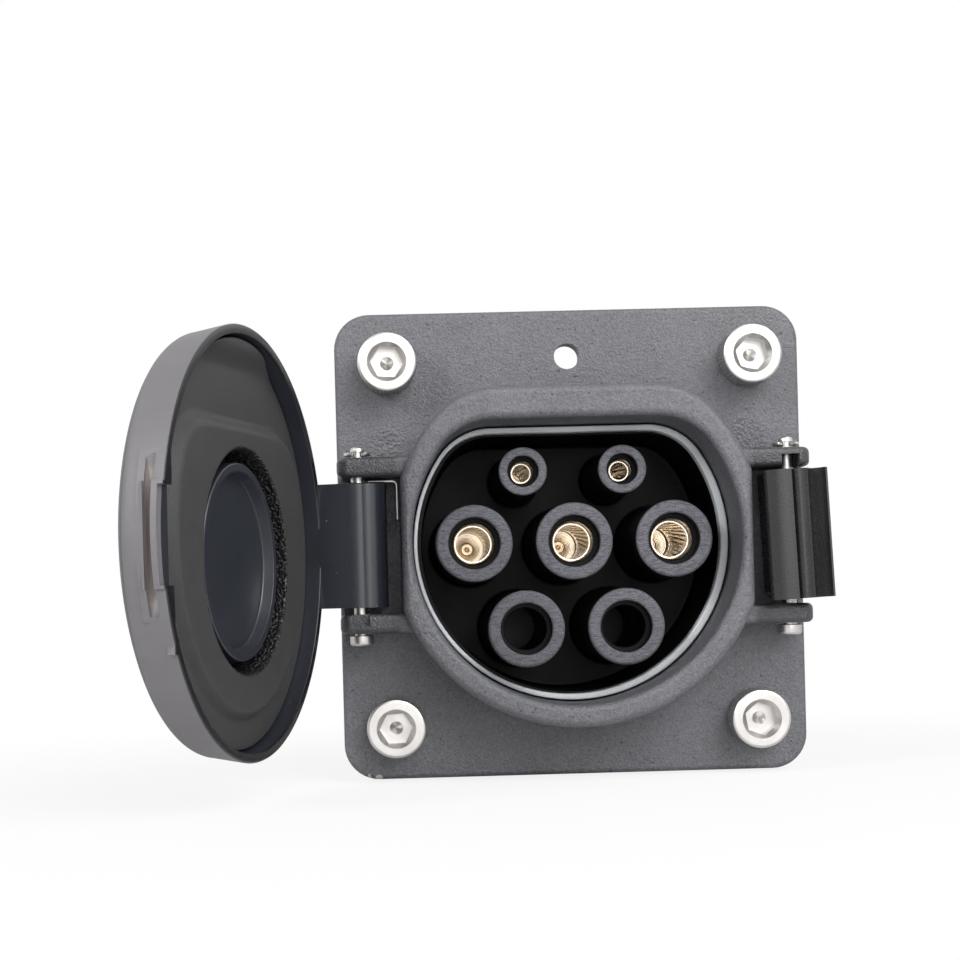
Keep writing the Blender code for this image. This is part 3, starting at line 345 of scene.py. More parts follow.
def coatFinish():
    look = {
        "dark": (0.064, 0.065, 0.073, 1.0),
        "light": (0.150, 0.151, 0.167, 1.0),
        "grain": 0.34,
        "pebble": 0.85,
        "chips": [(-37.7, -3.7, -39.8), (-35.8, -4.0, -39.9), (-34.2, -3.8, -39.9)],
        "chipReach": 1.25,
        "roughSpots": [(-31.5, -4.0, 18.0), (31.0, -4.0, 18.5), (-31.0, -5.0, 4.0), (-31.0, -5.0, -5.0)],
        "spotReach": 3.4,
    }
    paint = newPaint("powderCoat", Specular_IOR_Level=0.6)
    where = paint.place()
    grain = paint.noise(where, look["grain"], 2.0, 0.6)
    pebble = paint.noise(where, look["pebble"], 3.0, 0.6)
    cloud = paint.noise(where, 9.0, 3.0, 0.6)
    pit = 1 - paint.cells(where, 1.9).above(0.10, 0.04)
    coarse = None
    for x, y, z in look["roughSpots"]:
        near = 1 - paint.distance(where, (x, y, z)) / look["spotReach"]
        patch = near.above(0.15, 0.3)
        coarse = patch if coarse is None else coarse.larger(patch)
    lumps = 1 - paint.cells(where, 0.5)
    chips = None
    for x, y, z in look["chips"]:
        near = 1 - paint.distance(where, (x, y, z)) / look["chipReach"]
        ragged = (near + (paint.noise(where, 0.8, 3.0) - 0.5) * 1.3).above(0.45, 0.05)
        chips = ragged if chips is None else chips.larger(ragged)
    mottle = (grain - 0.5) * 2.0 + (pebble - 0.5) * 0.7 + (cloud - 0.5) * 0.6 + 0.5
    color = paint.blend(mottle, look["dark"], look["light"])
    color = paint.blend(pit * 0.6, color, grey(0.018))
    color, specks = dusty(paint, where, color, 4.6, 0.02)
    # the four lugs are painted darker, a painted shade for their rounded glossy fronts turning away from
    # the light, and made smoother
    x, y, z = paint.axes(where)
    lugs = x.math("ABSOLUTE", x).above(29.9, 0.5) * (1 - y.above(-4.6, 0.25))
    color = paint.blend(lugs * 0.75, color, (0.014, 0.014, 0.017, 1.0))
    color = paint.blend(chips, color, (0.66, 0.62, 0.58, 1.0))
    rough = 0.36 + pebble * 0.16 + pit * 0.1 + specks * 0.2 - chips * 0.1 - coarse * 0.06 - lugs * 0.14
    height = grain * 0.8 + pebble * 0.6 - pit * 0.3 + coarse * lumps * 0.9
    return paint.finish(Base_Color=color, Roughness=rough, Metallic=chips, Normal=paint.bump(height, 0.21))


def linerFinish():
    paint = newPaint("linerPlastic", Specular_IOR_Level=0.14)
    where = paint.place()
    y = paint.axes(where)[1]
    front = 1 - y.above(-9.05, 0.35)
    stipple = paint.noise(where, 0.20, 2.0, 0.6)
    scratch = paint.noise(paint.place((0.35, 1.0, 2.2)), 0.35, 2.0, 0.6)
    cloud = paint.noise(where, 6.0, 3.0, 0.6)
    smear = paint.noise(paint.place((0.5, 0.5, 0.25)), 4.0, 4.0, 0.7).above(0.62, 0.12)
    # deeper than the shroud fronts the plastic is painted near black: partly its own black, partly painted
    # shade of the deep cavity
    dark = paint.blend(cloud * 0.4 + smear * 0.6, grey(0.0025), grey(0.009, -0.0005))
    worn = (stipple - 0.5) * 1.3 + (scratch - 0.5) * 1.2 + 0.45
    color = paint.blend(front, dark, paint.blend(worn, grey(0.022, 0.004), grey(0.225, 0.026)))
    color, specks = dusty(paint, where, color, 5.5, 0.016, 0.25)
    rough = 0.38 + cloud * 0.08 + smear * 0.10 + front * stipple * 0.12
    bump = paint.bump(stipple * (0.2 + front) + scratch * front * 0.9 + specks, 0.03)
    return paint.finish(Base_Color=color, Roughness=rough, Normal=bump)


def plainPlastic(name, low, high, roughness, blue=0.0, gloss=0.5):
    paint = newPaint(name, Specular_IOR_Level=gloss)
    where = paint.place()
    grain = paint.noise(where, 0.3, 2.0, 0.6)
    cloud = paint.noise(where, 7.0, 3.0, 0.6)
    color = paint.blend(cloud * 0.6 + grain * 0.4, grey(low, blue), grey(high, blue))
    color, specks = dusty(paint, where, color, 4.1, 0.02)
    rough = roughness + (cloud - 0.5) * 0.14 + (grain - 0.5) * 0.12
    return paint.finish(Base_Color=color, Roughness=rough, Normal=paint.bump(grain + specks, 0.012))


def lidFinish():
    # smooth blue-black inside and on the hinge, hazed, matt and pale grey on the outside of the cap: part
    # haze, part painted sheen
    look = {
        "dark": (0.015, 0.017, 0.024, 1.0),
        "sheen": (0.028, 0.031, 0.041, 1.0),
        "hazeAndSheen": (0.114, 0.109, 0.118, 1.0),
        "pale": (0.178, 0.169, 0.181, 1.0),
        "slotPaintedLight": (0.30, 0.27, 0.25, 1.0),
        "rim": (0.005, 0.005, 0.007, 1.0),
    }
    paint = newPaint("lidPlastic", Specular_IOR_Level=0.6)
    where = paint.place(turn=lidOpen)
    x, y, z = paint.axes(where)
    radius = (x * x + (z + 0.45) * (z + 0.45)) ** 0.5
    hinge = (0 - x).above(30.6, 0.1) * (1 - z.math("ABSOLUTE", z).above(10.7, 0.1))
    skirt = radius.above(31.95, 0.1) * (1 - y.above(-14.45, 0.06))
    outside = skirt.larger(1 - y.above(-21.2, 0.3)) * (1 - hinge)
    grain = paint.noise(where, 0.26, 2.0, 0.6)
    cloud = paint.noise(where, 8.0, 4.0, 0.65)
    streak = paint.noise(paint.place((0.2, 0.2, 1.4), lidOpen), 2.2, 3.0, 0.6)
    smooth = paint.blend(cloud * 0.6 + grain * 0.4, look["dark"], look["sheen"])
    # the outside's pale grey is partly the plastic's haze and partly a painted sheen
    hazeAndSheen = paint.blend(cloud * 0.6 + streak * 0.4, look["hazeAndSheen"], look["pale"])
    hazeAndSheen = paint.blend((1 - y.above(-21.6, 0.5)) * 0.6, hazeAndSheen, smooth)
    color = paint.blend(outside, smooth, hazeAndSheen)
    # the slot's inside is painted a pale grey-brown: painted light that lifts it out of its shade
    slotHeight = (1 - y.above(-15.9, 0.1)) * y.above(-17.7, 0.1)
    slot = x.above(30.2, 0.2) * (1 - radius.above(32.2, 0.3)) * slotHeight
    color = paint.blend(slot, color, look["slotPaintedLight"])
    # the rim face is painted near black, darker than the plastic itself: a painted shade
    rim = y.above(-14.6, 0.15) * radius.above(31.0, 0.3) * (1 - hinge) * (1 - outside)
    color = paint.blend(rim, color, look["rim"])
    color, specks = dusty(paint, where, color, 3.4, 0.024)
    rough = 0.25 + cloud * 0.08 + outside * (0.18 + grain * 0.1) + specks * 0.2
    height = grain * (0.3 + outside * 0.7) + specks
    return paint.finish(Base_Color=color, Roughness=rough, Normal=paint.bump(height, 0.016))


def rubberFinish():
    paint = newPaint("sealRubber", Specular_IOR_Level=0.4)
    where = paint.place()
    grain = paint.noise(where, 0.3, 2.0, 0.6)
    cloud = paint.noise(where, 5.0, 3.0, 0.6)
    color = paint.blend(cloud * 0.5 + grain * 0.5, (0.60, 0.62, 0.64, 1.0), (0.76, 0.78, 0.80, 1.0))
    return paint.finish(Base_Color=color, Roughness=0.45 + grain * 0.2, Normal=paint.bump(grain, 0.02))


def foamFinish():
    # a closed, slightly shiny skin on the face and open cells where the hole was cut
    look = {"hole": 17.1, "drop": 3.1}
    paint = newPaint("lidFoam", Specular_IOR_Level=0.35)
    where = paint.place(turn=lidOpen)
    x, _, z = paint.axes(where)
    fromHole = (x * x + (z + look["drop"]) * (z + look["drop"])) ** 0.5
    cutWall = 1 - fromHole.above(look["hole"] + 0.35, 0.2)
    pores = 1 - paint.cells(where, 0.62).above(0.44, 0.16)
    glints = paint.noise(where, 0.4, 2.0, 0.7).above(0.60, 0.05)
    small = 1 - paint.cells(where, 0.3).above(0.30, 0.15)
    cloud = paint.noise(where, 5.0, 3.0, 0.6)
    grain = paint.noise(where, 0.22, 2.0, 0.6)
    skin = paint.blend(cloud * 0.6 + grain * 0.4, (0.030, 0.029, 0.029, 1.0), (0.054, 0.053, 0.053, 1.0))
    skin = paint.blend(small * 0.25, skin, grey(0.014))
    # the cut wall is painted near black as painted shade in its open cells, with painted glints on the cell
    # walls
    cells = paint.blend(glints * (1 - pores), grey(0.004), (0.12, 0.12, 0.125, 1.0))
    color = paint.blend(cutWall, skin, cells)
    color, specks = dusty(paint, where, color, 5.0, 0.02, 0.3)
    rough = 0.46 + cloud * 0.12 + grain * 0.06 - cutWall * 0.1
    height = grain * 0.12 - small * 0.10 - pores * cutWall * 1.6 + specks * 0.2
    return paint.finish(Base_Color=color, Roughness=rough, Normal=paint.bump(height, 0.16))


def brassFinish():
    paint = newPaint("brass", Metallic=1.0)
    where = paint.place()
    x, _, z = paint.axes(where)
    radius = (x * x + z * z) ** 0.5
    rings = (radius * 26.0 + paint.noise(where, 2.0) * 1.5).sine()
    cloud = paint.noise(where, 1.6, 3.0, 0.6)
    color = paint.blend(cloud, (0.87, 0.76, 0.62, 1.0), (0.95, 0.85, 0.71, 1.0))
    rough = 0.13 + cloud * 0.06
    return paint.finish(Base_Color=color, Roughness=rough, Normal=paint.bump(rings, 0.006))


def steelFinish():
    paint = newPaint("stainlessSteel", Metallic=1.0)
    where = paint.place()
    x, _, z = paint.axes(where)
    radius = (x * x + z * z) ** 0.5
    rings = (radius * 30.0 + paint.noise(where, 1.5) * 2.0).sine()
    fine = paint.noise(where, 0.25, 2.0, 0.6)
    cloud = paint.noise(where, 2.4, 3.0, 0.6)
    color = paint.blend(cloud, (0.50, 0.485, 0.47, 1.0), (0.70, 0.68, 0.66, 1.0))
    rough = 0.20 + cloud * 0.14 + fine * 0.08
    bump = paint.bump(rings * 0.5 + fine * 0.6, 0.006)
    return paint.finish(Base_Color=color, Roughness=rough, Normal=bump)


coat = coatFinish()
liner = linerFinish()
retainerPlastic = plainPlastic("retainerPlastic", 0.010, 0.020, 0.42)
lidPlastic = lidFinish()
leverPlastic = plainPlastic("leverPlastic", 0.006, 0.014, 0.27, blue=0.0006, gloss=0.52)
sealRubber = rubberFinish()
foam = foamFinish()
brass = brassFinish()
steel = steelFinish()
print("finishes ready")


# plate, collar and lugs: one casting
plate = {
    "side": 80.0,
    "thick": 4.0,
    "corner": 6.0,
    "edge": 0.9,
    "screwSpacing": 62.0,
    "screwHole": 6.6,
    "lockHole": 4.4,
    "lockHoleHeight": 32.0,
    "collarRadius": 31.3,
    "collarFlat": 25.7,
    "collarCorner": 13.5,
    "collarSide": 29.3,
    "collarProud": 12.5,
    "collarLip": 1.3,
    "fillet": 0.45,
    "boreRadius": 27.5,
    "boreFlat": 20.3,
    "boreCorner": 11.1,
    "skirtRadius": 29.2,
    "skirtLength": 6.0,
    "earRadius": 3.4,
    "earCircle": 31.6,
    "lugInner": 11.5,
    "lugThick": 3.3,
    "lugProud": 9.0,
    "lugEnd": 39.9,
    "lugCorner": 2.0,
    "lugSlot": 2.1,
    "lugRound": 0.95,
    "pinRadius": 1.2,
    "softEdge": 0.22,
}
face = -plate["thick"]
collarFront = face - plate["collarProud"]
earPlaces = [arc(0, 0, plate["earCircle"], a, a, 1)[0] for a in (45, 135, 225, 315)]


def makePlate():
    side, corner, edge = plate["side"], plate["corner"], plate["edge"]

    def slab(inset, y):
        return atY(roundedSquare(side - 2 * inset, corner - inset), y)

    rings = [slab(0.35, 0), slab(0.1, -0.1), slab(0, -0.35)]
    rings += [slab(inward, face + back) for inward, back in rounding(edge, 5)]
    body = loft("frontPlate", rings)

    def outer(grow, y):
        sizes = [plate[key] + grow for key in ("collarRadius", "collarFlat", "collarCorner", "collarSide")]
        return atY(dee(*sizes), y)

    fillet, lip = plate["fillet"], plate["collarLip"]
    rings = [outer(fillet, face / 2)]
    rings += [outer(back, face - inward) for inward, back in rounding(fillet, 5)]
    rings += [outer(-inward, collarFront + back) for inward, back in rounding(lip, 6)]
    collar = loft("collar", rings)
    skirt = turned(
        "skirt",
        [(plate["skirtRadius"], face / 2), (plate["skirtRadius"], plate["skirtLength"])],
        96,
    )
    parts = [collar, skirt]
    for place in earPlaces:
        ear = [(plate["earRadius"], face / 2), (plate["earRadius"], plate["skirtLength"])]
        parts.append(turned("ear", ear, 32, place))
    root = plate["collarSide"] - 2.7
    front = face - plate["lugProud"]
    tipRound = plate["lugCorner"]
    for sign in (-1, 1):
        for low in (plate["lugInner"], -plate["lugInner"] - plate["lugThick"]):
            tip = arc(plate["lugEnd"] - tipRound, front + tipRound, tipRound, -90, 0, 6)
            outline = [(root, face / 2), (root, front), *tip, (plate["lugEnd"], face / 2)]
            lug = prism("lug", [(sign * x, y) for x, y in outline], low, low + plate["lugThick"])
            soften(lug, plate["lugRound"], 60, 4)
            parts.append(lug)
    join(body, *parts)

    def inner(grow, y):
        sizes = [plate[key] + grow for key in ("boreRadius", "boreFlat", "boreCorner")]
        return atY(dee(*sizes), y)

    rings = [inner(0, plate["skirtLength"] * 2)]
    rings += [inner(inward, collarFront + back) for inward, back in rounding(lip, 6)]
    rings.append(inner(lip, collarFront - 3))
    tools = [loft("bore", rings)]
    half = plate["screwSpacing"] / 2
    holes = [((sx * half, sz * half), plate["screwHole"]) for sx in (-1, 1) for sz in (-1, 1)]
    holes.append(((0.0, plate["lockHoleHeight"]), plate["lockHole"]))
    for place, size in holes:
        tools.append(turned("hole", [(size / 2, 5), (size / 2, -9)], 48, place))
    for place in earPlaces:
        tools.append(turned("pilot", [(1.45, 12), (1.45, -1)], 20, place))
    reach = plate["lugInner"] + 2 * plate["lugThick"]
    for sign in (-1, 1):
        x, y = sign * pinPlace["x"], pinPlace["y"]
        tools.append(prism("passage", circle(plate["pinRadius"] + 0.15, 32, x, y), -reach, reach))
        wide = plate["pinRadius"] + fit
        start = plate["lugInner"] - plate["lugSlot"]
        levels = sorted((sign * start, sign * (plate["lugInner"] + plate["lugSlot"])))
        deep = y if sign > 0 else front + 1.6  # the pin shows only on the latch side
        tools.append(box("slot", (x - wide, y - 9, levels[0]), (x + wide, deep, levels[1])))
    carve(body, *tools)
    soften(body, plate["softEdge"], 35, 2)
    return seat(body, home, "socket", coat, "powder_coat", "front_plate")


makePlate()
print("plate done")


# insulator: sleeve, floor and seven shrouds, one moulding
liningSizes = {
    "radius": 27.2,
    "flat": 20.0,
    "corner": 10.8,
    "wall": 1.3,
    "setback": 3.0,
    "floor": 20.0,
    "floorThick": 4.0,
    "shroudProud": 5.6,
    "powerShroud": 13.1,
    "powerMouth": 8.8,
    "powerLip": 7.2,
    "powerBody": 8.0,
    "signalShroud": 8.2,
    "signalMouth": 5.3,
    "signalLip": 3.9,
    "signalBody": 4.44,
    "draft": 0.25,
    "mouthDepth": 3.6,
    "lipThick": 0.8,
    "shoulder": 0.9,
    "shoulderThick": 2.0,
    "footRound": 0.8,
    "tubeLength": 8.0,
    "tubeWall": 1.5,
    "flangeThick": 3.0,
    "pilot": 1.45,
}
pitch = 17.0  # between neighbouring power contacts
row = pitch * math.sin(60 * degree)
powerPlaces = {
    "n": (-pitch, 0.0),
    "pe": (0.0, 0.0),
    "l1": (pitch, 0.0),
    "l2": (-pitch / 2, -row),
    "l3": (pitch / 2, -row),
}
signalPlaces = {"cc": (-8.44, 12.0), "cp": (8.44, 12.0)}
postPlaces = [(-pitch * 1.06, 11.04), (pitch * 1.06, 11.04)]
fittedPower = ("n", "pe", "l1")
liningNodes = ["socket_body", "socket_floor", *(f"shroud_{key}" for key in [*powerPlaces, *signalPlaces])]


def makeLining():
    s = liningSizes
    rim = face + s["setback"]
    floorBack = s["floor"] + s["floorThick"]
    tubeBack = floorBack + s["tubeLength"]
    flangeFront = plate["skirtLength"] + fit
    flangeBack = flangeFront + s["flangeThick"]

    def sleeve(grow, y):
        return atY(dee(s["radius"] + grow, s["flat"] + grow, s["corner"] + grow, fine=14), y)

    body = loft("lining", [sleeve(0, rim), sleeve(0, floorBack)])
    skirt = plate["skirtRadius"]
    parts = [turned("flange", [(skirt, flangeFront), (skirt, flangeBack)], 96)]
    for place in earPlaces:
        ear = [(plate["earRadius"], flangeFront), (plate["earRadius"], flangeBack)]
        parts.append(turned("ear", ear, 32, place))
    join(body, *parts)
    foot = s["footRound"]
    cavity = [sleeve(-s["wall"], rim - 4), sleeve(-s["wall"], s["floor"] - foot)]
    for t in quarter(3)[1:]:
        cavity.append(sleeve(-s["wall"] - foot * (1 - math.cos(t)), s["floor"] - foot + foot * math.sin(t)))
    carve(body, loft("cavity", cavity))
    top = face - s["shroudProud"]
    parts = []
    bores = []
    kinds = [(place, "power") for place in powerPlaces.values()]
    kinds += [(place, "signal") for place in signalPlaces.values()]
    for place, kind in kinds:
        radius = s[kind + "Shroud"] / 2
        mouth = s[kind + "Mouth"] / 2
        lip = s[kind + "Lip"] / 2
        bore = s[kind + "Body"] / 2 + fit / 2
        steps = 72 if kind == "power" else 56
        edge = 0.6 if kind == "power" else 0.45
        inner = 0.42 if kind == "power" else 0.3
        foot = radius + s["draft"]
        profile = [(radius - edge + edge * math.sin(t), top + edge * (1 - math.cos(t))) for t in quarter(5)]
        profile += [(foot, s["floor"] - 0.7), (foot + 0.2, s["floor"] - 0.2)]
        profile += [(foot + 0.7, s["floor"]), (foot, s["floor"] + 2)]
        parts.append(turned("shroud", profile, steps, place))
        tubeRadius = bore + s["shoulder"] + s["tubeWall"]
        parts.append(turned("tube", [(tubeRadius, floorBack - 2), (tubeRadius, tubeBack)], 48, place))
        mouthBack = top + s["mouthDepth"]
        lipBack = mouthBack + s["lipThick"]
        stop = tubeBack - s["shoulderThick"] - fit
        profile = [(mouth + inner, top - 0.5)]
        profile += [(mouth + back, top + inward) for inward, back in rounding(inner, 4)]
        profile += [(mouth, mouthBack), (lip + 0.15, mouthBack), (lip, mouthBack + 0.15), (lip, lipBack)]
        profile += [(bore, lipBack), (bore, stop)]
        profile += [(bore + s["shoulder"], stop), (bore + s["shoulder"], tubeBack + 4)]
        bores.append(turned("bore", profile, steps, place))
    for place in postPlaces:
        parts.append(turned("post", [(3.0, floorBack - 2), (3.0, tubeBack)], 32, place))
    join(body, *parts)
    pilots = [(place, flangeFront - 4, flangeBack + 4) for place in earPlaces]
    pilots += [(place, floorBack, tubeBack + 4) for place in postPlaces]
    for place, start, end in pilots:
        bores.append(turned("pilot", [(s["pilot"], start), (s["pilot"], end)], 20, place))
    carve(body, *bores)
    return seat(body, home, "socket", liner, "black_plastic", *liningNodes, sharp=30)


makeLining()
print("lining done")


def makeSeal():
    s = liningSizes
    rear = face + s["setback"] - fit
    front = rear - s["setback"] * 0.8
    width = 1.0
    crown = 0.3

    def ring(grow, y):
        shape = dee(s["radius"] + grow, s["flat"] + grow, s["corner"] + grow, fine=16)
        return atY([(x + grow * 0.35, z) for x, z in shape], y)

    rings = [ring(0, rear)]
    edge = rounding(crown, 4)
    rings += [ring(-inward, front + back) for inward, back in edge]
    rings += [ring(-width + inward, front + back) for inward, back in reversed(edge)]
    rings.append(ring(-width, rear))
    seal = loft("sealRing", rings, loop=True)
    seat(seal, home, "socket", sealRubber, "grey_rubber", "seal_ring", sharp=60)


makeSeal()


# the plate that keeps the contacts in
retainer = {
    "radius": 24.6,
    "flat": 18.7,
    "corner": 10.8,
    "thick": 3.0,
    "edge": 0.4,
    "softEdge": 0.15,
}
retainerFront = liningSizes["floor"] + liningSizes["floorThick"] + liningSizes["tubeLength"] + fit
retainerBack = retainerFront + retainer["thick"]


# contacts and their sprung cages
contactSizes = {
    "power": {"pin": 3.0, "wall": 0.7, "crimp": 2.2, "blades": 24},
    "signal": {"pin": 1.5, "wall": 0.42, "crimp": 0.95, "blades": 12},
}
crimpOut = 11.0  # length of a crimp barrel behind the retainer
cage = {"thick": 0.2, "gap": 0.1, "squeeze": 0.12, "band": 1.1, "twist": 32.0, "stations": 12}


def makeContact(key, place, kind):
    s = liningSizes
    c = contactSizes[kind]
    steps = 72 if kind == "power" else 48
    lipBack = face - s["shroudProud"] + s["mouthDepth"] + s["lipThick"]
    tubeBack = s["floor"] + s["floorThick"] + s["tubeLength"]
    front = lipBack + fit
    bore = c["pin"] + cage["thick"] + cage["gap"]
    outer = bore + c["wall"]
    chamfer = (outer - bore) * 0.8
    floor = s["floor"] + 2.0
    stop = tubeBack - s["shoulderThick"]
    back = tubeBack + fit + retainer["thick"] + crimpOut
    ring = outer + 0.75
    profile = [
        (0.02, floor + bore * 0.3),
        (bore * 0.16, floor + bore * 0.24),
        (bore * 0.30, floor + bore * 0.04),
        (bore * 0.34, floor),
        (bore * 0.88, floor),
        (bore * 0.97, floor - 0.08),
        (bore, floor - 0.25),
        (bore, front + chamfer + 0.1),
        (bore + 0.05, front + chamfer * 0.9),
        (bore + chamfer * 0.9, front + 0.06),
        (bore + chamfer, front),
        (outer - 0.03, front + 0.03),
        (outer, front + 0.15),
        (outer, stop),
        (ring - 0.15, stop),
        (ring, stop + 0.15),
        (ring, tubeBack - 0.15),
        (ring - 0.15, tubeBack),
        (outer, tubeBack),
        (outer, back - 0.2),
        (outer - 0.2, back),
        (c["crimp"] + 0.15, back),
        (c["crimp"], back - 0.15),
        (c["crimp"], back - 8.8),
    ]
    piece = turned(f"contact_{key}_brass", profile, steps)
    space = home @ shift(place[0], 0, place[1])
    seat(piece, space, "socket", brass, "brass", f"contact_{key}", sharp=50)
    makeCage(key, space, c, front)


def makeCage(key, space, c, front):
    steps = c["blades"] * 2
    low = front + c["wall"] * 1.6 if c["wall"] > 0.6 else front + 1.12
    high = liningSizes["floor"] - cage["band"]
    outer = c["pin"] + cage["thick"]
    inner = c["pin"]
    first = low + cage["band"]
    last = high - cage["band"]
    rows = [(low, 0.0, 0.0)]
    for i in range(cage["stations"] + 1):
        part = i / cage["stations"]
        squeeze = cage["squeeze"] * math.sin(math.pi * part)
        rows.append((first + (last - first) * part, cage["twist"] * part, squeeze))
    rows.append((high, cage["twist"], 0.0))
    bm = bmesh.new()

    def ringOf(radius):
        grid = []
        for y, twist, squeeze in rows:
            turn = [2 * math.pi * i / steps + twist * degree for i in range(steps)]
            r = radius - squeeze
            grid.append([bm.verts.new((r * math.cos(a), y, r * math.sin(a))) for a in turn])
        return grid

    outs = ringOf(outer)
    ins = ringOf(inner)
    lastRow = len(rows) - 1
    for k in range(lastRow):
        isBand = k in (0, lastRow - 1)
        for i in range(steps):
            j = (i + 1) % steps
            if isBand or i % 2 == 0:
                bm.faces.new((outs[k][i], outs[k][j], outs[k + 1][j], outs[k + 1][i]))
                bm.faces.new((ins[k][i], ins[k + 1][i], ins[k + 1][j], ins[k][j]))
            if not isBand:
                bm.faces.new((outs[k][i], ins[k][i], ins[k + 1][i], outs[k + 1][i]))
    for k in (0, lastRow):
        for i in range(steps):
            j = (i + 1) % steps
            bm.faces.new((outs[k][i], outs[k][j], ins[k][j], ins[k][i]))
    for k in (1, lastRow - 1):
        for i in range(1, steps, 2):
            j = (i + 1) % steps
            bm.faces.new((outs[k][i], outs[k][j], ins[k][j], ins[k][i]))
    loose = [v for v in bm.verts if not v.link_faces]
    bmesh.ops.delete(bm, geom=loose, context="VERTS")
    piece = newPiece(f"contact_cage_{key}_blades", bm)
    seat(piece, space, "socket", brass, "brass", f"contact_cage_{key}", sharp=35)


for key in fittedPower:
    makeContact(key, powerPlaces[key], "power")
for key, place in signalPlaces.items():
    makeContact(key, place, "signal")
print("contacts done")


capScrew = {
    "head": 5.0,
    "height": 6.0,
    "hex": 2.5,
    "hexDepth": 3.0,
    "shank": 3.0,
    "length": 16.0,
    "ridges": 46,
    "ridgeDepth": 0.22,
    "threadDepth": 0.32,
    "turn": {"upper_left": 4, "upper_right": 12, "lower_left": -3, "lower_right": 20},
}


def makeCapScrew(where, sx, sz):
    s = capScrew
    under = face - fit
    top = under - s["height"]
    edge = 0.5
    steps = s["ridges"] * 4
    outer, shank = s["head"], s["shank"]

    def level(radius, y, ridged=False):
        ring = []
        for i in range(steps):
            angle = 2 * math.pi * i / steps
            dip = s["ridgeDepth"] * (0.5 - 0.5 * math.cos(angle * s["ridges"])) if ridged else 0.0
            ring.append(Vector(((radius - dip) * math.cos(angle), y, (radius - dip) * math.sin(angle))))
        return ring

    rings = [level(outer - edge, top), level(outer - edge * 0.55, top + edge * 0.1)]
    rings += [level(outer - edge * 0.15, top + edge * 0.45), level(outer, top + edge)]
    rings += [level(outer, top + edge + 0.12, True), level(outer, under - 0.35, True)]
    rings += [level(outer - 0.1, under - 0.25), level(outer - 0.25, under), level(shank, under)]
    thread = int((s["length"] - 4.0) / 0.25)
    for i in range(thread):
        y = under + 3.5 + 0.25 * i
        rings.append(level(shank - (0.0 if i % 4 in (0, 1) else s["threadDepth"]), y))
    end = under + s["length"]
    rings += [level(shank - 0.4, end - 0.3), level(shank - 0.7, end)]
    piece = loft(f"cap_screw_{where}_steel", rings)
    corner = s["hex"] / math.cos(30 * degree)
    hexagon = circle(corner, 6)
    recess = loft("recess", [atY(hexagon, top - 1), atY(hexagon, top + s["hexDepth"])])
    entry = [(corner + 0.75, top - 0.3), (corner - 0.42, top + 0.9), (0.1, top + 0.92)]
    floor = top + s["hexDepth"]
    point = [(1.15, floor - 0.2), (1.15, floor + 0.25), (0.05, floor + 0.95)]
    carve(piece, recess, turned("entry", entry, 48), turned("point", point, 32))
    half = plate["screwSpacing"] / 2
    turn = Matrix.Rotation(s["turn"][where] * degree, 4, "Y")
    space = home @ shift(sx * half, 0, sz * half) @ turn
    seat(piece, space, "socket", steel, "stainless_steel", f"cap_screw_{where}", sharp=30)


for where, sx, sz in (
    ("upper_left", -1, 1),
    ("upper_right", 1, 1),
    ("lower_left", -1, -1),
    ("lower_right", 1, -1),
):
    makeCapScrew(where, sx, sz)
print("screws done")


pin = {
    "radius": 1.2,
    "head": 2.0,
    "headThick": 1.8,
    "tip": 2.0,
    "groove": 0.35,
    "clipThick": 0.5,
    "clipRadius": 2.3,
    "wire": 0.275,
    "coilRadius": 1.75,
    "turns": 4,
    "coilPitch": 0.72,
}
lugEndZ = plate["lugInner"] + plate["lugThick"]


def makePin(name, space, node):
    end = lugEndZ
    groove = end + fit
    r = pin["radius"]
    h = pin["head"]
    under = -end - fit
    bottom = under - pin["headThick"]
    profile = [(h * 0.55, bottom), (h * 0.82, bottom + 0.06), (h * 0.97, bottom + 0.3), (h, bottom + 0.5)]
    profile += [(h, -end - 0.42), (h - 0.12, under), (r, under), (r, groove)]
    profile += [(r - pin["groove"], groove), (r - pin["groove"], groove + 0.8), (r, groove + 0.8)]
    top = end + pin["tip"]
    profile += [(r, top - 0.55), (r * 0.92, top - 0.28), (r * 0.7, top - 0.08), (r * 0.4, top)]
    piece = upright(name, profile, 40)
    seat(piece, space, "socket", steel, "stainless_steel", node, sharp=40)


def makeClip(name, space, node):
    low = lugEndZ + 0.45
    inner = pin["radius"] - pin["groove"] + 0.15
    outline = arc(0, 0, pin["clipRadius"], -50, 230, 32) + arc(0, 0, inner, 230, -50, 32)
    piece = prism(name, outline, low, low + pin["clipThick"])
    soften(piece, 0.08, 40)
    seat(piece, space, "socket", steel, "stainless_steel", node)


def tube(name, path, radius):
    # a round wire along a path of points
    path = [Vector(point) for point in path]
    last = len(path) - 1
    tangents = [(path[min(i + 1, last)] - path[max(i - 1, 0)]).normalized() for i in range(last + 1)]
    normal = tangents[0].orthogonal().normalized()
    rings = []
    for point, tangent in zip(path, tangents):
        normal = (normal - tangent * normal.dot(tangent)).normalized()
        across = tangent.cross(normal)
        rings.append([point + radius * (x * normal + y * across) for x, y in circle(1.0, 12)])
    return loft(name, rings)


def coil(top, downward):
    steps = 24
    radius = pin["coilRadius"]
    points = []
    for i in range(pin["turns"] * steps + 1):
        angle = 2 * math.pi * i / steps
        z = top - downward * pin["coilPitch"] * i / steps
        points.append((radius * math.cos(angle), radius * math.sin(angle), z))
    return points


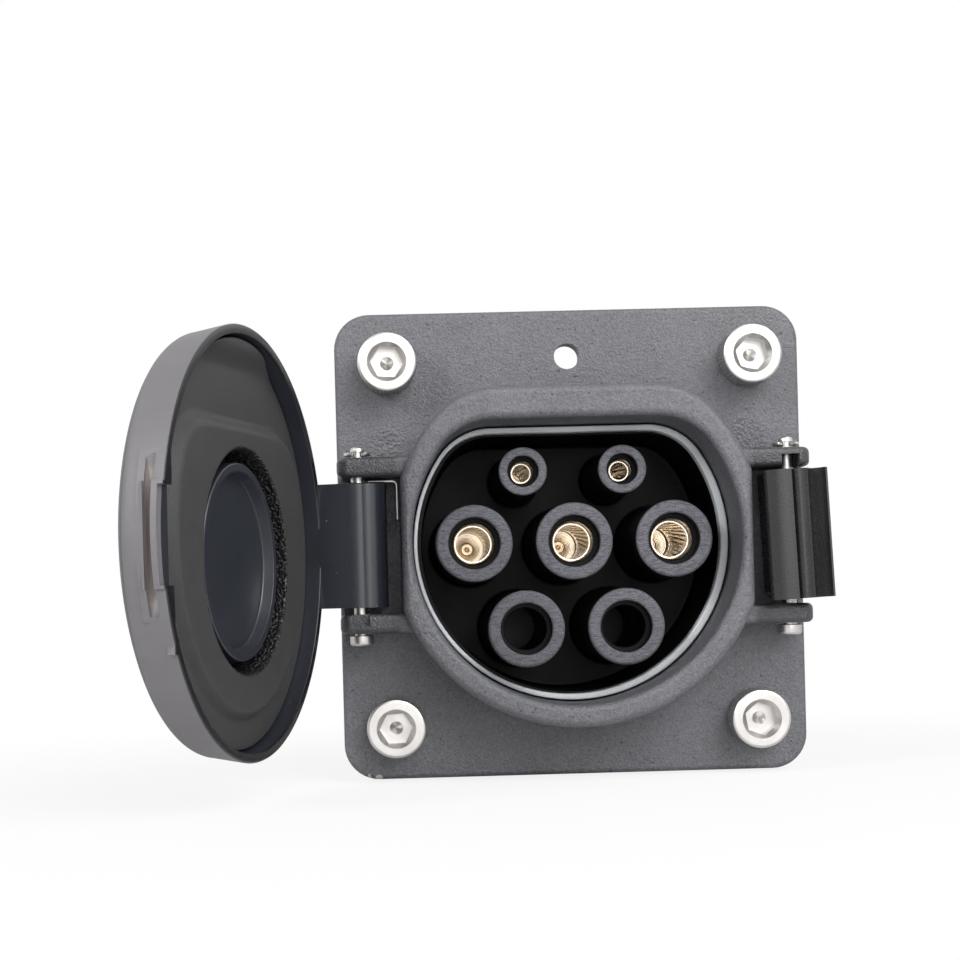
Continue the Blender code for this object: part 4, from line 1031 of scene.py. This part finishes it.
def makeSprings():
    wire = pin["wire"]
    top = plate["lugInner"] - wire - fit
    reach = pinPlace["x"] - plate["collarSide"] - wire - fit
    corner = 0.8
    leg = [(reach, 0.0, top - 6.5), (reach, 0.0, top - 3.0)]
    leg += [(x, 0.0, z) for x, z in arc(reach - corner, top - corner, corner, 0, 90, 6)]
    piece = tube("lid_spring_wire", leg + coil(top, 1), wire)
    seat(piece, hingeSpace, "socket", steel, "stainless_steel", "lid_spring", sharp=80)
    bottom = -(10.8 - wire - fit)
    points = [(-x, y, z) for x, y, z in coil(bottom, -1)]
    reach = -pinPlace["y"] - plate["thick"] - wire - fit
    r = pin["coilRadius"]
    leg = [(-r * 1.3, reach, bottom), (-r * 1.22, reach * 0.8, bottom), (-r * 1.1, reach * 0.45, bottom)]
    piece = tube("latch_spring_wire", leg + points, wire)
    seat(piece, latchPinSpace, "socket", steel, "stainless_steel", "latch_spring", sharp=80)


makePin("hinge_pin_steel", hingeSpace, "hinge_pin")
makePin("latch_pin_steel", latchPinSpace, "latch_pin")
makeClip("hinge_pin_clip_steel", hingeSpace, "hinge_pin_clip")
makeClip("latch_pin_clip_steel", latchPinSpace, "latch_pin_clip")
makeSprings()
print("pins and springs done")


lid = {
    "radius": 33.6,
    "skirtRadius": 33.15,
    "skirtDrop": 0.45,
    "tabHalf": 7.4,
    "nub": (-15.3, 1.1),
    "wall": 1.5,
    "top": 1.5,
    "overlap": 2.2,
    "edge": 2.4,
    "draft": 0.3,
    "taper": 0.5,
    "foam": 5.2,
    "groove": 1.7,
    "grooveRoom": 0.9,
    "grooveFade": 2.0,
    "hole": 17.1,
    "drop": 3.1,
    "bossGap": 2.0,
    "bossProud": 4.6,
    "bossRim": 1.4,
    "bossDish": 1.8,
    "barrel": 3.3,
    "barrelHalf": 10.4,
    "knuckleShift": 1.4,
    "tab": 1.9,
    "heel": 3.0,
    "catchHalf": 11.2,
    "bar": 0.9,
    "notch": 0.8,
    "notchHalf": 6.9,
    "pocketDepth": 2.9,
    "pocketTall": 1.5,
    "reliefDepth": 1.1,
    "reliefTall": 3.9,
    "pad": 1.1,
}
lidRim = collarFront + lid["overlap"]
foamFace = collarFront - fit + lid["groove"]
lidInnerFace = foamFace - lid["foam"] - fit
lidOuterFace = lidInnerFace - lid["top"]


def makeBoss():
    # round boss with a raised rim and a shallow dish
    s = lid
    radius = s["hole"] - s["bossGap"]
    top = lidInnerFace + s["bossProud"]
    dish = radius - s["bossRim"]
    floor = top - s["bossDish"]
    profile = [(radius, lidInnerFace - 0.7)]
    profile += [(radius - inward, top - back) for inward, back in rounding(0.3, 3)]
    profile += [(dish + 0.15, top), (dish + 0.04, top - 0.04), (dish, top - 0.15)]
    profile += [(dish - 0.3, floor + 0.3), (dish - 0.42, floor + 0.08), (dish - 0.7, floor)]
    return turned("boss", profile, 96, (0, -s["drop"]))


def makeHinge():
    # tab from the skirt down to the barrel, the barrel's thicker side, and the heel that stops it
    s = lid
    pinX, pinY = pinPlace["x"], pinPlace["y"]
    half = s["barrelHalf"]
    tabIn = -(plate["collarSide"] + (pinX - s["barrel"] - plate["collarSide"]) * 0.6)
    tabOut = tabIn - s["tab"]
    outline = [
        (tabIn, pinY),
        (tabIn, lidInnerFace + s["top"]),
        (tabOut - s["tab"] * 0.6, lidInnerFace + s["top"]),
        (tabOut - s["tab"] * 0.6, pinY - s["barrel"] * 1.2),
        (-pinX, pinY - s["barrel"] * 0.98),
        (-pinX, pinY),
    ]
    turn = Matrix.Rotation(lidOpen * degree, 4, "Z")
    middle = turn @ Vector((s["knuckleShift"], 0, 0))
    reach = -pinY - plate["thick"] - fit
    side = s["heel"] / 2
    corners = [turn @ Vector((x, y, 0)) for x, y in ((-side, 0), (-side, reach), (side, reach), (side, 0))]
    return [
        prism("tab", outline, -half, half),
        prism("barrel", circle(s["barrel"], 64, -pinX, pinY), -half, half),
        prism("knuckle", circle(s["barrel"], 64, middle.x - pinX, middle.y + pinY), -half, half),
        prism("heel", [(p.x - pinX, p.y + pinY) for p in corners], -half * 0.8, half * 0.8),
    ]


def makeLid():
    s = lid
    middle = (0, -s["skirtDrop"])
    radius = s["skirtRadius"]
    inner = radius - s["wall"]
    edge = s["edge"]
    deep = inner - s["draft"]
    profile = [(deep - 0.5, lidInnerFace), (deep - 0.1, lidInnerFace + 0.15), (deep, lidInnerFace + 0.6)]
    profile += [(inner, lidRim - 0.3), (inner + 0.1, lidRim - 0.1), (inner + 0.3, lidRim)]
    profile += [(radius - 0.3, lidRim), (radius - 0.1, lidRim - 0.08), (radius, lidRim - 0.3)]
    body = radius - s["draft"] - s["taper"]
    profile += [(body - inward, lidOuterFace + back) for inward, back in rounding(edge, 8)]
    shell = turned("lidShell", profile, 160, middle)
    floor = s["radius"] - s["pocketDepth"]
    half = s["catchHalf"]
    bar = lidRim - s["notch"] - s["bar"]
    padHalf = half + s["wall"] / 2
    padLow = (floor - s["pad"], bar - s["pocketTall"] - s["pad"], -padHalf)
    pad = box("pad", padLow, (inner + s["wall"] / 2, lidRim, padHalf))
    limit = turned("limit", [(radius - 0.45, lidRim + 2), (radius - 0.45, lidOuterFace)], 160, middle)
    combine(pad, "INTERSECT", [limit])
    low = (inner, bar - s["pocketTall"] - 0.3, -s["tabHalf"])
    raised = box("raised", low, (radius + 2, lidRim, s["tabHalf"]))
    limit = turned("limit", [(s["radius"] - 0.1, lidRim + 2), (s["radius"] - 0.1, lidOuterFace)], 160)
    combine(raised, "INTERSECT", [limit])
    nubZ, nubHalf = s["nub"]
    nubX = math.sqrt(radius**2 - nubZ**2) + 0.1
    nub = box("nub", (nubX - 1.0, lidRim - 1.3, nubZ - nubHalf), (nubX + 0.2, lidRim, nubZ + nubHalf))
    join(shell, makeBoss(), *makeHinge(), pad, raised, nub)
    far = radius + 2
    notchLow = (inner - 2 * s["pad"], lidRim - s["notch"], -s["notchHalf"])
    notch = box("notch", notchLow, (far, lidRim + 2, s["notchHalf"]))
    slot = box("slot", (floor, bar - s["pocketTall"], -half), (far, bar, half))
    low = (s["radius"] - s["reliefDepth"], bar - s["reliefTall"], -half)
    recess = box("recess", low, (far, bar, half))
    bore = prism("bore", circle(1.5, 40, -pinPlace["x"], pinPlace["y"]), -21, 21)
    springRoom = pin["coilRadius"] + pin["wire"] + fit
    nestFloor = plate["lugInner"] - 2 * pin["wire"] - 0.6 - pin["turns"] * pin["coilPitch"]
    nest = prism("nest", circle(springRoom, 40, -pinPlace["x"], pinPlace["y"]), nestFloor, 21)
    carve(shell, notch, slot, recess, bore, nest)
    soften(shell, 0.16, 40, 2, reach=0.02)
    seat(shell, lidSpace, "lid", lidPlastic, "lid_plastic", "lid_shell", sharp=35)


def signedGap(outline, x, z):
    # how far a spot lies outside a closed outline; less than zero inside it
    nearest = 1e9
    inside = False
    for (ax, az), (bx, bz) in zip(outline, outline[1:] + outline[:1]):
        dx, dz = bx - ax, bz - az
        part = ((x - ax) * dx + (z - az) * dz) / (dx * dx + dz * dz)
        part = min(max(part, 0.0), 1.0)
        nearest = min(nearest, math.hypot(x - ax - part * dx, z - az - part * dz))
        if (az > z) != (bz > z) and x < ax + (z - az) / (bz - az) * dx:
            inside = not inside
    return -nearest if inside else nearest


def makeFoam():
    # a ring of foam whose face keeps the print of the collar
    s = lid
    back = foamFace - s["foam"]
    radius = s["skirtRadius"] - s["wall"] - s["draft"] - 0.1
    side = s["radius"] - s["pocketDepth"] - s["pad"] - fit
    room = s["grooveRoom"]
    fade = s["grooveFade"]
    grow = room + fade - 0.6
    wide = dee(*(plate[key] + grow for key in ("collarRadius", "collarFlat", "collarCorner")), fine=6)
    flat = plate["boreFlat"] - room - 1.8
    slim = dee(plate["boreRadius"] - room, flat, plate["boreCorner"] - room, fine=6)
    steps = 168
    fine = 44
    soft = 1.1

    def pressed(x, z):
        inPrint = min(-signedGap(wide, x, z) / fade, signedGap(slim, x, z) / soft)
        part = min(max(inPrint * 0.5 + 0.5, 0.0), 1.0)
        return s["groove"] * part * part * (3 - 2 * part)

    def spot(angle, part):
        x0, z0 = min(radius * math.cos(angle), side), radius * math.sin(angle) - s["skirtDrop"]
        x1, z1 = s["hole"] * math.cos(angle), s["hole"] * math.sin(angle) - s["drop"]
        return x0 + (x1 - x0) * part, z0 + (z1 - z0) * part

    # the face from its outer edge to the hole, with both edges a little lower
    levels = [(0.0, 0.3), (0.006, 0.1), (0.018, 0.0)]
    levels += [(i / fine, 0.0) for i in range(1, fine)]
    levels += [(0.982, 0.0), (0.994, 0.1), (1.0, 0.3)]
    rings = []
    for part, low in levels:
        places = [spot(2 * math.pi * k / steps, part) for k in range(steps)]
        rings.append([Vector((x, foamFace - pressed(x, z) - low, z)) for x, z in places])
    for part in (1.0, 0.0):
        places = [spot(2 * math.pi * k / steps, part) for k in range(steps)]
        rings.append(atY(places, back))
    piece = loft("lidFoamPad", rings, loop=True)
    seat(piece, lidSpace, "lid", foam, "foam", "lid_foam", sharp=60)


makeLid()
makeFoam()
print("lid done")


lever = {
    "half": 10.8,
    "hookGap": 0.4,
    "nose": 0.5,
    "rise": 0.9,
    "creaseX": -0.5,
    "barrel": 3.3,
    "bump": 1.9,
    "bumpX": 1.1,
    "valleyX": 3.5,
    "valleyOut": 5.5,
    "wingReach": 6.0,
    "wingOut": 7.0,
    "wing": 2.2,
    "play": 0.55,
}


def makeLever():
    s = lever
    pinOut = -pinPlace["y"] - plate["thick"]
    rimOut = plate["collarProud"] - lid["overlap"] - pinOut
    hook = rimOut + lid["notch"] + lid["bar"] + s["hookGap"]
    lean = s["half"] * math.sin(latchCock * degree)
    tip = lid["radius"] - lid["pocketDepth"] + fit + lean - pinPlace["x"]
    arm = lid["radius"] + fit + lean - pinPlace["x"]
    crest = hook + s["nose"] + s["rise"]
    foot = pinOut - fit
    back = -s["barrel"]
    # one curve from the hook's tip up to the crease
    ramp = [
        (s["creaseX"] + (tip - s["creaseX"]) * x, hook + (crest - hook) * z)
        for x, z in arc(0, 0, 1.0, 0, 90, 18)
    ]
    bump = arc(s["bumpX"], crest - 1.3 * s["bump"], s["bump"], 140, 40, 12)
    middle = (s["valleyX"] + s["wingReach"]) / 2
    wing = [
        (s["valleyX"], s["valleyOut"]),
        (middle, (s["valleyOut"] + s["wingOut"]) / 2 - s["wing"] * 0.1),
        (s["wingReach"] - s["wing"] * 0.2, s["wingOut"]),
        (s["wingReach"], s["wingOut"] - s["wing"] * 0.25),
        (s["wingReach"] - s["wing"] * 0.2, s["wingOut"] - s["wing"]),
        (s["valleyX"], s["valleyOut"] - s["wing"]),
    ]
    below = arc(0, 0, s["barrel"], 40, -105, 16)
    stop = [(back * 0.6, -foot), (back * 1.1, -foot), (back, back * 0.3)]
    inside = [(back, s["barrel"] * 0.5), (arm, rimOut - fit), (arm, hook)]
    outline = [(x, -out) for x, out in ramp + bump + wing + below + stop + inside]
    piece = prism("latchLever", outline, -s["half"], s["half"])
    bore = prism("bore", circle(pin["radius"] + s["play"], 40), -22, 22)
    springRoom = pin["coilRadius"] + pin["wire"] + 0.15 + lean
    depth = 2 * pin["wire"] + pin["turns"] * pin["coilPitch"] + 0.6
    nest = prism("nest", circle(springRoom, 40), -22, depth - s["half"])
    wide = s["barrel"] * 2
    relief = box("relief", (-wide, 0.3, -22), (wide, wide, 0.9 + 2 * pin["wire"] - s["half"]))
    carve(piece, bore, nest, relief)
    soften(piece, 0.25, 28, 3)
    seat(piece, latchSpace, "latch", leverPlastic, "black_plastic", "latch_lever", sharp=35)


makeLever()
print("latch done")


# small screws at the back
smallScrew = {
    "head": 2.6,
    "height": 1.9,
    "rim": 0.55,
    "shank": 1.3,
    "threadDepth": 0.16,
    "crossHalf": 0.26,
    "crossReach": 1.35,
    "crossDepth": 1.15,
    "crossTaper": 0.55,
    "bodyLength": 8.0,
    "retainerLength": 9.0,
}


def makeRetainer():
    r = retainer
    edge = r["edge"]

    def outline(grow, y):
        return atY(dee(r["radius"] + grow, r["flat"] + grow, r["corner"] + grow, fine=16), y)

    rings = [outline(-0.2, retainerFront), outline(0, retainerFront + 0.2)]
    rings += [outline(-inward, retainerBack - back) for inward, back in rounding(edge, 5)]
    body = loft("contactRetainerPlate", rings)
    sizes = [(powerPlaces[key], liningSizes["powerBody"] / 2 + fit, 64) for key in fittedPower]
    sizes += [(place, liningSizes["signalBody"] / 2 + fit, 48) for place in signalPlaces.values()]
    sizes += [(place, liningSizes["pilot"], 32) for place in postPlaces]
    holes = [
        turned("hole", [(size, retainerFront - 2), (size, retainerBack + 2)], steps, place)
        for place, size, steps in sizes
    ]
    carve(body, *holes)
    soften(body, r["softEdge"], 50, 2)
    seat(body, home, "socket", retainerPlastic, "black_plastic", "contact_retainer", sharp=50)


def makeSmallScrew(node, place, under, length, turn):
    # a pan head with a cross recess and a cut thread
    s = smallScrew
    top = under + s["height"]
    rim = s["rim"]
    profile = [(s["shank"] * 0.45, under - length), (s["shank"] * 0.8, under - length + 0.45)]
    count = int((length - 1.4) / 0.2)
    for i in range(count):
        dip = 0.0 if i % 4 in (0, 1) else s["threadDepth"]
        profile.append((s["shank"] - dip, under - length + 0.6 + 0.2 * i))
    head = s["head"]
    profile += [(s["shank"], under), (head - 0.1, under), (head, under + 0.1), (head, under + rim)]
    dome = top - under - rim
    profile += [(head * math.cos(t), under + rim + dome * math.sin(t)) for t in quarter(9)[1:8]]
    profile += [(head * 0.1, top)]
    piece = turned(f"{node}_steel", profile, 48)
    wide, far, taper = s["crossHalf"], s["crossReach"], s["crossTaper"]

    def cross(scale, y):
        half, reach = wide * (0.6 + 0.4 * scale), far * scale
        arm = [(half, half), (half, reach), (-half, reach)]
        side = [(-half, half), (-reach, half), (-reach, -half)]
        return atY(arm + side + [(-x, -z) for x, z in arm + side], y)

    recess = loft("recess", [cross(taper, top - s["crossDepth"]), cross(1.1, top + 0.15)])
    carve(piece, recess)
    space = home @ shift(place[0], 0, place[1]) @ Matrix.Rotation(turn * degree, 4, "Y")
    seat(piece, space, "socket", steel, "stainless_steel", node, sharp=30)


makeRetainer()
for i, place in enumerate(earPlaces):
    under = plate["skirtLength"] + fit + liningSizes["flangeThick"] + fit
    makeSmallScrew(f"body_screw_{i + 1}", place, under, smallScrew["bodyLength"], 17 + 31 * i)
for i, place in enumerate(postPlaces):
    under = retainerBack + fit
    makeSmallScrew(f"retainer_screw_{i + 1}", place, under, smallScrew["retainerLength"], 40 + 25 * i)
print("back done")


studio = {
    "floorHeight": -0.0094,
    "floorColor": 0.86,
    "shadowShare": 0.16,
    "shadowReach": 130.0,
    "worldLight": 0.25,
    # place and size in metres, power in watts
    "lights": {
        "keyLight": ((0.32, -0.60, 0.42), (0.50, 0.50), 3.2),
        "topLight": ((0.14, -0.24, 0.32), (0.36, 0.24), 0.60),
        "sideLight": ((-0.70, -0.62, 0.50), (0.24, 0.30), 4.6),
        "frontLight": ((0.06, -0.84, 0.12), (0.30, 0.36), 0.75),
    },
}


def makeStage():
    # the camera sees a white studio; light and shadow on the floor stay, faintly
    paint = newPaint("paleFloor", Roughness=0.7)
    speck = paint.noise(paint.place(), 30.0, 3.0)
    color = paint.blend(speck, grey(studio["floorColor"]), grey(studio["floorColor"] + 0.05))
    paint.finish(Base_Color=color)
    white = paint.node("ShaderNodeEmission", values={"Color": (1, 1, 1, 1), "Strength": 1.0})
    seen = paint.node("ShaderNodeLightPath", out="Is Camera Ray")
    reach = studio["shadowReach"]
    near = 1 - paint.distance(paint.place(), (0, 0, 0)).above(reach, reach * 0.6)
    plain = seen * (1 - near * studio["shadowShare"])
    values = {0: plain, 1: Sock(paint, paint.shader.outputs[0]), 2: white}
    mixed = paint.node("ShaderNodeMixShader", values=values)
    paint.feed(paint.tree.nodes["Material Output"].inputs["Surface"], mixed)
    bm = bmesh.new()
    bmesh.ops.create_grid(bm, x_segments=8, y_segments=8, size=3.0)
    floor = newPiece("studioFloor", bm)
    floor.location = (0, 0, studio["floorHeight"])
    floor.data.materials.append(paint.owner)
    world = bpy.data.worlds.new("studio")
    bpy.context.scene.world = world
    sky = Paint(world)
    white = (1, 1, 1, 1)
    light = sky.node("ShaderNodeBackground", values={"Color": white, "Strength": studio["worldLight"]})
    plain = sky.node("ShaderNodeBackground", values={"Color": white, "Strength": 1.0})
    rays = sky.node("ShaderNodeLightPath", out="Is Camera Ray")
    glossy = Sock(sky, rays.out.node.outputs["Is Glossy Ray"])
    clear = Sock(sky, rays.out.node.outputs["Is Transmission Ray"])
    showsWhite = rays.larger(glossy).larger(clear)
    pick = sky.node("ShaderNodeMixShader", values={0: showsWhite, 1: light, 2: plain})
    sky.feed(sky.tree.nodes["World Output"].inputs["Surface"], pick)


def areaLight(name, place, size, power):
    data = bpy.data.lights.new(name, "AREA")
    data.shape = "RECTANGLE"
    data.size, data.size_y = size
    data.energy = power
    lamp = bpy.data.objects.new(name, data)
    bpy.context.scene.collection.objects.link(lamp)
    lamp.location = place
    aim = Vector((0, 0, earthAxisHeight * millimetre)) - Vector(place)
    lamp.rotation_mode = "QUATERNION"
    lamp.rotation_quaternion = aim.to_track_quat("-Z", "Y")


def makeCamera():
    # the photograph's own view, worked out from the plate, the contacts and the lid
    view = {
        "focal": 1902.0,
        "yaw": 1.35,
        "pitch": 0.37,
        "roll": 1.53,
        "offset": (23.0, 14.3, -327.7),
        "centre": (438, 625),
    }
    image = 960  # the photograph's width and height in pixels
    cy, sy = math.cos(view["yaw"] * degree), math.sin(view["yaw"] * degree)
    cp, sp = math.cos(view["pitch"] * degree), math.sin(view["pitch"] * degree)
    cr, sr = math.cos(view["roll"] * degree), math.sin(view["roll"] * degree)
    turn = (
        Matrix(((cr, -sr, 0), (sr, cr, 0), (0, 0, 1)))
        @ Matrix(((1, 0, 0), (0, cp, -sp), (0, sp, cp)))
        @ Matrix(((cy, 0, sy), (0, 1, 0), (-sy, 0, cy)))
    )
    spot = -(turn.transposed() @ Vector(view["offset"]))
    toFrame = Matrix(((1, 0, 0), (0, 0, -1), (0, 1, 0)))
    rotation = (toFrame @ turn.transposed()).to_4x4()
    place = toFrame @ spot + Vector((0, face, earthAxisHeight))
    data = bpy.data.cameras.new("photoView")
    data.sensor_width = 36.0
    data.lens = view["focal"] / image * data.sensor_width
    data.shift_x = (image / 2 - view["centre"][0]) / image
    data.shift_y = (view["centre"][1] - image / 2) / image
    data.clip_start = 0.01
    data.clip_end = 50.0
    camera = bpy.data.objects.new("photoView", data)
    bpy.context.scene.collection.objects.link(camera)
    camera.matrix_world = Matrix.Translation(place * millimetre) @ rotation
    bpy.context.scene.camera = camera


makeStage()
for name, (place, size, power) in studio["lights"].items():
    areaLight(name, place, size, power)
makeCamera()
bpy.context.scene.view_settings.view_transform = "Standard"
print("stage done")
